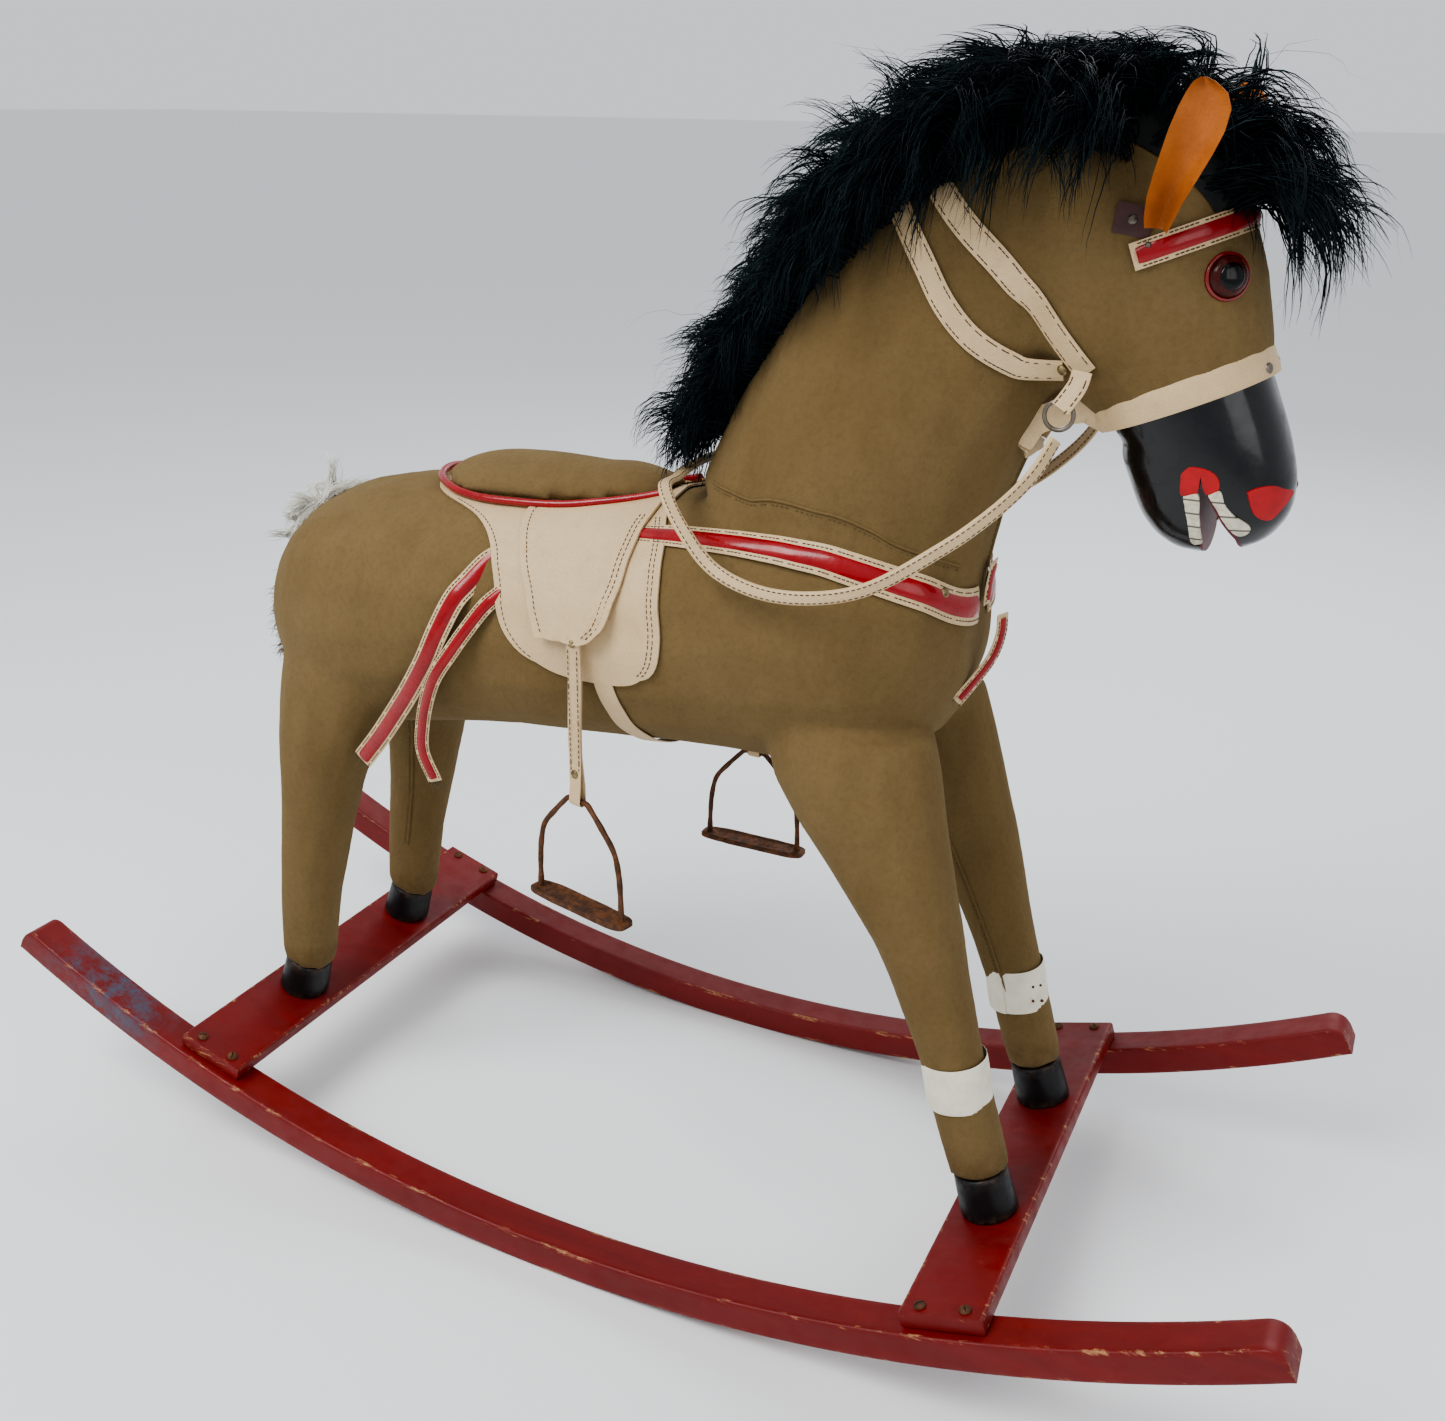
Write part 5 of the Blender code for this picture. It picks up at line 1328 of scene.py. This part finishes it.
def muzzle_surface():
    """Rings of the closed muzzle, before its mouth is cut."""
    table = np.array(MUZZLE)
    keys = np.arange(len(MUZZLE))
    rings = []
    sides = 96
    fine = np.linspace(0, len(MUZZLE) - 1, 57)
    values = []
    for key in fine:
        values.append([float(np.interp(key, keys, table[:, k])) for k in range(5)])
    values = np.array(values)
    for _ in range(10):
        values[1:-1] = (values[:-2] + 2 * values[1:-1] + values[2:]) / 4
    for x, z, tilt, depth, width in values:
        along = Vector((math.cos(math.radians(tilt)), 0, math.sin(math.radians(tilt))))
        row = []
        for k in range(sides):
            a = 2 * math.pi * k / sides
            c, s = math.cos(a), math.sin(a)
            u, v = math.copysign(abs(c) ** 0.87, c), math.copysign(abs(s) ** 0.87, s)
            spot = Vector((x, 0, z)) + along * depth * u + Y * width * v
            crease = 0.0035 * math.exp(-(((z - 0.6720 + 0.40 * (spot.x - 0.36)) / 0.006) ** 2)) * max(0.0, -u) ** 3
            rows_out = (spot - Vector((x, 0, z))).normalized()
            row.append(spot - rows_out * crease)
        rings.append(row)
    return rings


def prism(name, outline, half_width):
    """A straight-sided cutter across Y from an outline in XZ."""
    points = [(x, y, z) for y in (-half_width, half_width) for x, z in outline]
    count = len(outline)
    faces = [tuple(range(count)), tuple(range(count, 2 * count))[::-1]]
    faces += [(k, k + count, (k + 1) % count + count, (k + 1) % count) for k in range(count)]
    obj = new_object(name, points, faces, bpy.data.materials["black_gloss"], body=None)
    tidy_normals(obj)
    return obj


def cut(obj, other, operation):
    step = obj.modifiers.new("cut", "BOOLEAN")
    step.object, step.operation, step.solver = other, operation, "EXACT"
    bpy.context.view_layer.update()
    return bake_modifiers(obj)


def inside(x, z, outline):
    hit = False
    for (x0, z0), (x1, z1) in zip(outline, outline[1:] + outline[:1]):
        if (z0 > z) != (z1 > z) and x < (x1 - x0) * (z - z0) / (z1 - z0) + x0:
            hit = not hit
    return hit


def painted_patch(name, outline, side, tree, material, lift, height=0.0004, sag=None):
    """A raised patch on the muzzle, given by its outline in XZ."""
    outline = [tuple(p) for p in outline]
    centre = sum((Vector((x, 0, z)) for x, z in outline), Vector()) / len(outline)
    edge = spline([Vector((x, 0, z)) for x, z in outline + outline[:1]], 0.0012)[:-1]
    rows = []
    for t in (1.0, 0.97, 0.85, 0.68, 0.5, 0.32, 0.15):
        row = []
        for p in edge:
            q = centre.lerp(p, t)
            spot, normal, _, _ = tree.ray_cast(Vector((q.x, side * 0.12, q.z)), Vector((0, -side, 0)))
            if spot is None:
                spot, normal, _, _ = tree.find_nearest(Vector((q.x, side * 0.04, q.z)))
            up = lift + (0.0 if t == 1.0 else height)
            if sag and t < 1.0:
                up += sag(q)
            row.append(spot + normal * (up if t < 1 else -0.0004))
        rows.append(row)
    points = [p for row in rows for p in row]
    count = len(edge)
    faces = []
    for i in range(len(rows) - 1):
        a, b = i * count, (i + 1) * count
        faces += [(a + k, a + (k + 1) % count, b + (k + 1) % count, b + k) for k in range(count)]
    middle = len(points)
    points.append(sum(rows[-1], Vector()) / count)
    last = (len(rows) - 1) * count
    faces += [(last + k, last + (k + 1) % count, middle) for k in range(count)]
    obj = new_object(name, points, faces, material)
    tidy_normals(obj)
    return obj


def muzzle(gloss, lining, lip, teeth):
    rings = muzzle_surface()
    sides = len(rings[0])
    points = [p for row in rings for p in row]
    faces = []
    for i in range(len(rings) - 1):
        a, b = i * sides, (i + 1) * sides
        faces += [(a + k, a + (k + 1) % sides, b + (k + 1) % sides, b + k) for k in range(sides)]
    faces.append(tuple(range(sides)))
    faces.append(tuple(range(len(points) - sides, len(points)))[::-1])
    snout = new_object("muzzle_skin", points, faces, gloss)
    tidy_normals(snout)
    tree = tree_of(snout)
    inner = new_object("mouth_lining", points, faces, lining)
    tidy_normals(inner)
    wide = prism("notch_wide", [(x + (-0.0016 if k < 5 else 0.0016), z + 0.0016) for k, (x, z) in enumerate(NOTCH)], 0.08)
    narrow = prism("notch", NOTCH, 0.08)
    flat = Matrix.Translation((0.41, 0, 0.61)) @ Matrix.Scale(0.985, 4) @ Matrix.Translation((-0.41, 0, -0.61))
    inner.data.transform(flat)
    cut(inner, wide, "INTERSECT")
    cut(inner, narrow, "DIFFERENCE")
    cut(snout, wide, "DIFFERENCE")
    bpy.data.objects.remove(wide)
    bpy.data.objects.remove(narrow)
    for piece in (snout, inner):
        tidy_normals(piece)
    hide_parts("muzzle")
    for side_name, s in SIDES:
        patch = painted_patch(f"lip_patch_{side_name}", RED_LIP, s, tree, lip, 0.0004)
        holes = prism("hole", [(x, z) for x, z in NOTCH], 0.08)
        cut(patch, holes, "DIFFERENCE")
        bpy.data.objects.remove(holes)
        painted_patch(f"nostril_{side_name}", NOSTRIL, s, tree, lip, 0.0004, 0.0007)
        for n, outline in enumerate(TEETH):
            top = 0.640

            def ridged(q, top=top):
                return 0.0008 * abs(math.sin((top - q.z) * math.pi / 0.0085)) ** 0.5

            painted_patch(f"teeth_{side_name}_{n}", outline, s, tree, teeth, 0.0007, 0.0006, ridged)


def eyes(iris, pupil, rim):
    for side_name, s in SIDES:
        spot, normal, _, _ = SKIN.ray_cast(Vector((0.398, s * 0.12, 0.768)), Vector((0, -s, 0)))
        normal = (normal + Vector((0.12, s * 0.4, 0.02))).normalized()
        ring = [(0.0142, -0.0030), (0.0142, 0.0008), (0.0136, 0.0018), (0.0127, 0.0021), (0.0120, 0.0012), (0.0050, 0.0006)]
        lathe(f"eye_rim_{side_name}", spot, normal, ring, rim, sides=48)
        dome = [(0.0123, 0.0000), (0.0122, 0.0022), (0.0112, 0.0040), (0.0096, 0.0055), (0.0076, 0.0065), (0.0072, 0.0067)]
        glass = lathe(f"eye_iris_{side_name}", spot, normal, dome, iris, sides=48)
        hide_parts(f"eye_{side_name}")
        dot = [(0.0082, 0.0050), (0.0078, 0.0066), (0.0064, 0.0075), (0.0045, 0.0081), (0.0022, 0.0084), (0.0002, 0.0085)]
        lathe(f"eye_pupil_{side_name}", spot, normal, dot, pupil, sides=40)


EAR_ROWS = ((-0.02, 0.0070, 0.3610), (0.06, 0.0090, 0.3620), (0.20, 0.0112, 0.3645), (0.36, 0.0132, 0.3690), (0.52, 0.0148, 0.3735),
            (0.66, 0.0156, 0.3770), (0.80, 0.0145, 0.3795), (0.90, 0.0112, 0.3795), (0.97, 0.0062, 0.3775), (1.00, 0.0014, 0.3765))


def ears(leather, patch_red, dark, brass):
    for side_name, s in SIDES:
        points, faces = [], []
        columns = 12
        rows = 40
        table = np.array(EAR_ROWS)
        for level in (0.0, 0.0019):
            for i in range(rows + 1):
                t = -0.02 + 1.02 * i / rows
                half = float(np.interp(t, table[:, 0], table[:, 1]))
                middle = float(np.interp(t, table[:, 0], table[:, 2]))
                z = 0.7955 + 0.0790 * t
                y = 0.0600 + 0.0080 * math.sin(math.pi * min(1, t + 0.05) * 0.6)
                for k in range(columns + 1):
                    u = 2 * k / columns - 1
                    curl = 0.0105 * u * u * (1.1 - t) + 0.0035 * u * u
                    fold = 0.006 * max(0.0, 0.55 - t) * (1 - u * u)
                    x = middle + half * u * (1 - 0.12 * (1 - t))
                    points.append(Vector((x, s * (y + curl - fold + level), z - 0.0015 * u * (1 - t))))
        count = columns + 1
        total = (rows + 1) * count
        for i in range(rows):
            for k in range(columns):
                a, b = i * count + k, (i + 1) * count + k
                faces += [(a, a + 1, b + 1, b), (total + a, total + b, total + b + 1, total + a + 1)]
        border = list(range(count)) + [i * count + columns for i in range(1, rows + 1)]
        border += [rows * count + k for k in range(columns - 1, -1, -1)] + [i * count for i in range(rows - 1, 0, -1)]
        faces += [(a, b, total + b, total + a) for a, b in zip(border, border[1:] + border[:1])]
        ear = new_object(f"ear_{side_name}_leaf", points, faces, leather)
        tidy_normals(ear)
        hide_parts(f"ear_{side_name}")
        frames = on_skin([(0.3335, s * 0.056, 0.7995), (0.3440, s * 0.057, 0.7985), (0.3560, s * 0.058, 0.7960)], 0.002, 2)
        frames = levelled(frames, Z)
        strap(f"ear_patch_{side_name}", frames, 0.0175, 0.0012, 0.0008, patch_red)
        spot, normal = skin_at((0.3440, s * 0.058, 0.7985))
        stud(f"ear_rivet_{side_name}", spot + normal * 0.0020, normal, 0.0030, dark)
        spot, normal = skin_at((0.3545, s * 0.058, 0.7850))
        stud(f"browband_nail_{side_name}", spot + normal * 0.0034, normal, 0.0018, dark)


# ---- mane and tail ----

MANE_CREST = ((0.062, 0, 0.640), (0.075, 0, 0.672), (0.100, 0, 0.716), (0.128, 0, 0.756), (0.160, 0, 0.792), (0.196, 0, 0.822),
              (0.240, 0, 0.843), (0.285, 0, 0.850), (0.330, 0, 0.845), (0.368, 0, 0.826), (0.392, 0, 0.806))
STRAND_STEPS = 11


def swirl(place):
    """Smooth noise with three parts, the same on every run."""
    return Vector([noise.noise(place + Vector((0, 0, shift))) for shift in (0.0, 31.4, 67.9)])


def grown(root, direction, length, gravity, curl, seed, room):
    """One guide hair, bent by its weight and kept off the plush."""
    step = length / STRAND_STEPS
    path = [root.copy()]
    heading = direction.normalized()
    for i in range(STRAND_STEPS):
        t = (i + 1) / STRAND_STEPS
        wave = swirl(path[-1] * 24.0 + Vector((seed, 0, seed * 0.7)))
        heading = (heading + Vector((0, 0, -1)) * gravity * t + wave * curl).normalized()
        spot = path[-1] + heading * step
        near, normal, _, far = SKIN.find_nearest(spot)
        out = (spot - near).dot(normal)
        if out < room:
            spot += normal * (room - out)
        heading = (spot - path[-1]).normalized()
        path.append(spot)
    return np.array([tuple(p) for p in path])


def hair_mesh(name, strands, material, radius):
    """Tapered three-sided strands in one mesh. strands is an array of (n, points, 3)."""
    strands = np.asarray(strands)
    count, length, _ = strands.shape
    along = np.gradient(strands, axis=1)
    along /= np.maximum(np.linalg.norm(along, axis=2, keepdims=True), 1e-9)
    side = np.cross(along, np.array([0.31, 0.52, 0.79]))
    side /= np.maximum(np.linalg.norm(side, axis=2, keepdims=True), 1e-9)
    other = np.cross(along, side)
    taper = (1.0 - np.linspace(0, 1, length) ** 2.2 * 0.92)[None, :, None]
    points = []
    for k in range(3):
        a = 2 * math.pi * k / 3
        points.append(strands + (side * math.cos(a) + other * math.sin(a)) * radius[:, None, None] * taper)
    grid = np.stack(points, 2)
    flat = grid.reshape(-1, 3)
    base = (np.arange(count) * length * 3)[:, None, None]
    row = (np.arange(length - 1) * 3)[None, :, None]
    k = np.arange(3)[None, None, :]
    a = base + row + k
    b = base + row + (k + 1) % 3
    quads = np.stack([a, b, b + 3, a + 3], -1).reshape(-1, 4)
    mesh = bpy.data.meshes.new(name)
    mesh.vertices.add(len(flat))
    mesh.vertices.foreach_set("co", flat.ravel())
    mesh.loops.add(len(quads) * 4)
    mesh.loops.foreach_set("vertex_index", quads.ravel())
    mesh.polygons.add(len(quads))
    mesh.polygons.foreach_set("loop_start", np.arange(len(quads)) * 4)
    mesh.update(calc_edges=True)
    mesh.validate()
    mesh.shade_smooth()
    mesh.materials.append(material)
    obj = bpy.data.objects.new(name, mesh)
    bpy.context.scene.collection.objects.link(obj)
    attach(obj, BODY)
    return obj


def clumped(guides, each, spread, rng, fray=0.0009):
    """Strands gathered round each guide, wide at the root and drawn together at the tip."""
    found = []
    length = guides.shape[1]
    t = np.linspace(0, 1, length)[:, None]
    for guide in guides:
        for _ in range(each):
            offset = rng.normal(0, 1, 3) * spread
            bend = rng.normal(0, 1, 3) * spread * 0.9
            wiggle = np.cumsum(rng.normal(0, fray, (length, 3)), axis=0)
            shorter = rng.uniform(0.72, 1.0)
            path = guide * 1.0
            grid = np.linspace(0, shorter * (length - 1), length)
            path = np.stack([np.interp(grid, np.arange(length), guide[:, k]) for k in range(3)], 1)
            found.append(path + offset * (1 - 0.72 * t) + bend * np.sin(t * math.pi) * 0.6 + wiggle)
    return np.array(found)


def hidden_by_ear(spot):
    """Hair is parted where an ear stands."""
    return abs(spot.y) > 0.034 and 0.350 < spot.x < 0.392


def pressed_down(strands, rng):
    """Strands bent back softly where they would stand above the crest's top."""
    room = rng.uniform(0.012, 0.034, (len(strands), 1))
    over = np.maximum(strands[:, :, 2] - 0.876, 0)
    strands[:, :, 2] += room * (1 - np.exp(-over / room)) - over
    return strands


def off_the_face(strands):
    """Strands that don't hang over an ear, an eye or the browband."""
    x, y, z = np.abs(strands[:, :, 0]), np.abs(strands[:, :, 1]), strands[:, :, 2]
    ear = (y > 0.050) & (x > 0.345) & (x < 0.412) & (z < 0.885)
    face = (y > 0.036) & (x > 0.330) & (x < 0.425) & (z < 0.812)
    return strands[~(ear | face).any(axis=1)]


def mane(black, dark):
    rng = np.random.default_rng(7)
    crest = spline(MANE_CREST, 0.0030)
    last = len(crest) - 1
    core_points = []
    groups = {"withers": [], "crest": [], "poll": [], "forelock": []}
    for i, p in enumerate(crest):
        t = i / last
        ahead = (crest[min(i + 1, last)] - crest[max(i - 1, 0)]).normalized()
        out = ahead.cross(Y)
        if out.z < 0 and t < 0.5 or out.dot(Vector((-0.6, 0, 0.8))) < 0 and t < 0.6:
            out = -out
        if out.z < 0:
            out = -out
        per_row = 11
        for k in range(per_row):
            across = (k / (per_row - 1) - 0.5) * 2
            width = 0.046 if 0.35 < t < 0.95 else 0.026
            guess = p + Y * across * width - out * 0.010 * abs(across)
            spot, normal, _, _ = SKIN.find_nearest(guess)
            jitter = Vector(rng.normal(0, 0.24, 3))
            near_side = max(0.0, -across)
            if t < 0.42:
                lean = out * 0.95 + Vector((-0.60, 0, -0.05)) + Y * across * 0.75
                reach = rng.uniform(0.048, 0.085)
                group = "withers"
            elif t < 0.60:
                lean = out * 1.1 + Vector((-0.45, 0, 0.0)) + Y * across * 0.9
                reach = rng.uniform(0.065, 0.105) + 0.020 * near_side
                group = "crest"
            elif t < 0.86:
                lean = out * 0.80 + Vector((-0.15, 0, 0)) + Y * across * 1.1
                reach = rng.uniform(0.060, 0.100) + 0.030 * near_side
                group = "poll"
            else:
                lean = out * 0.50 + Vector((0.70, 0, 0.05)) + Y * across * 0.9
                reach = rng.uniform(0.075, 0.120)
                group = "forelock"
            if group in ("withers", "forelock") or not hidden_by_ear(spot):
                gravity = rng.uniform(0.30, 0.80)
                room = rng.uniform(0.003, 0.014)
                guide = grown(spot + normal * 0.001, lean + jitter, reach, gravity, 0.40, rng.uniform(0, 60), room)
                groups[group].append(guide)
    for name, guides in groups.items():
        guides = np.array(guides)
        strands = clumped(guides, 10, 0.0026, rng)
        strands = off_the_face(pressed_down(strands, rng))
        half = len(strands) // 2
        for n, part in enumerate((strands[:half], strands[half:])):
            radius = rng.uniform(0.00042, 0.00080, len(part))
            piece = hair_mesh(f"mane_{name}_{n}", part, black, radius)
            if name == "crest" and n == 0:
                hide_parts("mane")
        halo = []
        for guide in guides[::3]:
            stray = guide + np.cumsum(rng.normal(0, 0.0030, guide.shape), axis=0)
            stray += (np.linspace(0, 1, len(guide)) ** 1.5)[:, None] * rng.normal(0, 0.012, 3)
            halo.append(stray)
        halo = off_the_face(pressed_down(np.array(halo), rng))
        frizz = hair_mesh(f"mane_{name}_frizz", halo, black, np.full(len(halo), 0.00016))
    base = []
    for i, p in enumerate(crest):
        t = i / last
        width = 0.036 if t > 0.3 else 0.024
        row = []
        for k in range(15):
            across = k / 7 - 1
            spot, normal, _, _ = SKIN.find_nearest(p + Y * across * width * 1.15)
            row.append(spot + normal * (0.0015 + 0.011 * (1 - across**2)))
        base.append(row)
    points = [p for row in base for p in row]
    faces = [(i * 15 + k, i * 15 + k + 1, (i + 1) * 15 + k + 1, (i + 1) * 15 + k) for i in range(last) for k in range(14)]
    new_object("mane_backing", points, faces, dark)


def tail(white):
    rng = np.random.default_rng(11)
    guides = []
    start, end = Vector((-0.322, 0, 0.556)), Vector((-0.349, 0, 0.498))
    for n in range(84):
        t = rng.uniform(0, 1)
        p = start.lerp(end, t) + Y * rng.uniform(-0.010, 0.010)
        spot, normal, _, _ = SKIN.find_nearest(p)
        lean = normal * 0.8 + Vector((-0.25, 0, 0.15)) + Vector(rng.normal(0, 0.35, 3))
        guides.append(grown(spot, lean, rng.uniform(0.030, 0.050), 0.75, 1.15, rng.uniform(0, 50), 0.003))
    strands = clumped(np.array(guides), 24, 0.0016, rng, 0.0006)
    tuft = hair_mesh("tail_hair", strands, white, rng.uniform(0.00030, 0.00055, len(strands)))
    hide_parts("tail_tuft")


def frayed_patch(threads):
    """Loose threads and straw ends where the plush has worn through at the rump."""
    rng = np.random.default_rng(3)
    guides = []
    for centre, reach in WORN_SPOTS:
        for _ in range(420):
            p = Vector(centre) + Vector(rng.normal(0, reach * 0.42, 3))
            spot, normal, _, _ = SKIN.find_nearest(p)
            lean = normal * 0.7 + Vector(rng.normal(0, 0.9, 3))
            guides.append(grown(spot, lean, rng.uniform(0.005, 0.016), 0.5, 0.8, rng.uniform(0, 50), 0.0004))
    piece = hair_mesh("rump_threads", np.array(guides), threads, np.full(len(guides), 0.00030))


# ---- assembly ----

random.seed(5)
set_camera()
PLUSH = plush_material()
VINYL = vinyl_material()
RED = red_vinyl_material()
WOOD = wood_paint_material()
GLOSS = black_gloss_material()
RUST = rust_material()
BRASS = brass_material()
TAN = tan_leather_material()
THREAD = plain_material("dark_thread", (0.075, 0.032, 0.022), 0.8, grain=900.0)
KHAKI_THREAD = plain_material("khaki_thread", (0.10, 0.07, 0.032), 0.85, grain=900.0)
STEEL = plain_material("old_steel", (0.20, 0.17, 0.14), 0.45, 0.9)

reins(VINYL, THREAD)
set_stage()
body = plush_body(PLUSH)
SKIN = tree_of(body)
seams(PLUSH, KHAKI_THREAD)
for side_name, side in SIDES:
    rocker(side_name, side, WOOD)
for which in ("front", "rear"):
    board(which, WOOD)
screws(RUST)
hooves(hoof_material())
leg_bands(plain_material("white_band", (0.74, 0.70, 0.57), 0.55, grain=60.0, dark=0.80), RUST)
saddle(VINYL, THREAD)
seat(PLUSH, RED)
for side_name, side in SIDES:
    stirrup(side_name, side, VINYL, RUST, BRASS, THREAD)
bridle(VINYL, RED, BRASS, STEEL, THREAD)
harness(VINYL, RED, BRASS, THREAD, KHAKI_THREAD)
LIP = plain_material("red_lip_paint", (0.40, 0.004, 0.005), 0.5, grain=90.0, dark=0.6)
LINING = plain_material("mouth_lining", (0.11, 0.004, 0.012), 0.45, grain=120.0)
TEETH_PAINT = teeth_material()
muzzle(GLOSS, LINING, LIP, TEETH_PAINT)
eyes(plain_material("iris", (0.060, 0.006, 0.003), 0.20, grain=210.0, dark=0.3, Specular_IOR_Level=0.25),
     plain_material("pupil", (0.002, 0.002, 0.002), 0.10, depth=0.00001, Specular_IOR_Level=0.30),
     plain_material("eye_rim", (0.20, 0.004, 0.004), 0.25, depth=0.0001, Coat_Weight=0.4, Coat_Roughness=0.06))
ears(TAN, plain_material("oxblood_leather", (0.055, 0.012, 0.010), 0.4, grain=110.0), STEEL, BRASS)
mane(hair_material("black_hair", (0.0012, 0.0020, 0.0030), (0.0030, 0.0062, 0.0082), 0.42),
     plain_material("mane_backing", (0.003, 0.0035, 0.004), 0.9))
tail(hair_material("white_hair", (0.70, 0.68, 0.61), (0.86, 0.84, 0.77), 0.7))
frayed_patch(plain_material("straw_threads", (0.13, 0.068, 0.024), 0.85, grain=300.0))

for name, node in NODES.items():
    if not node.hide_render:
        print("plain CAD piece left:", name)
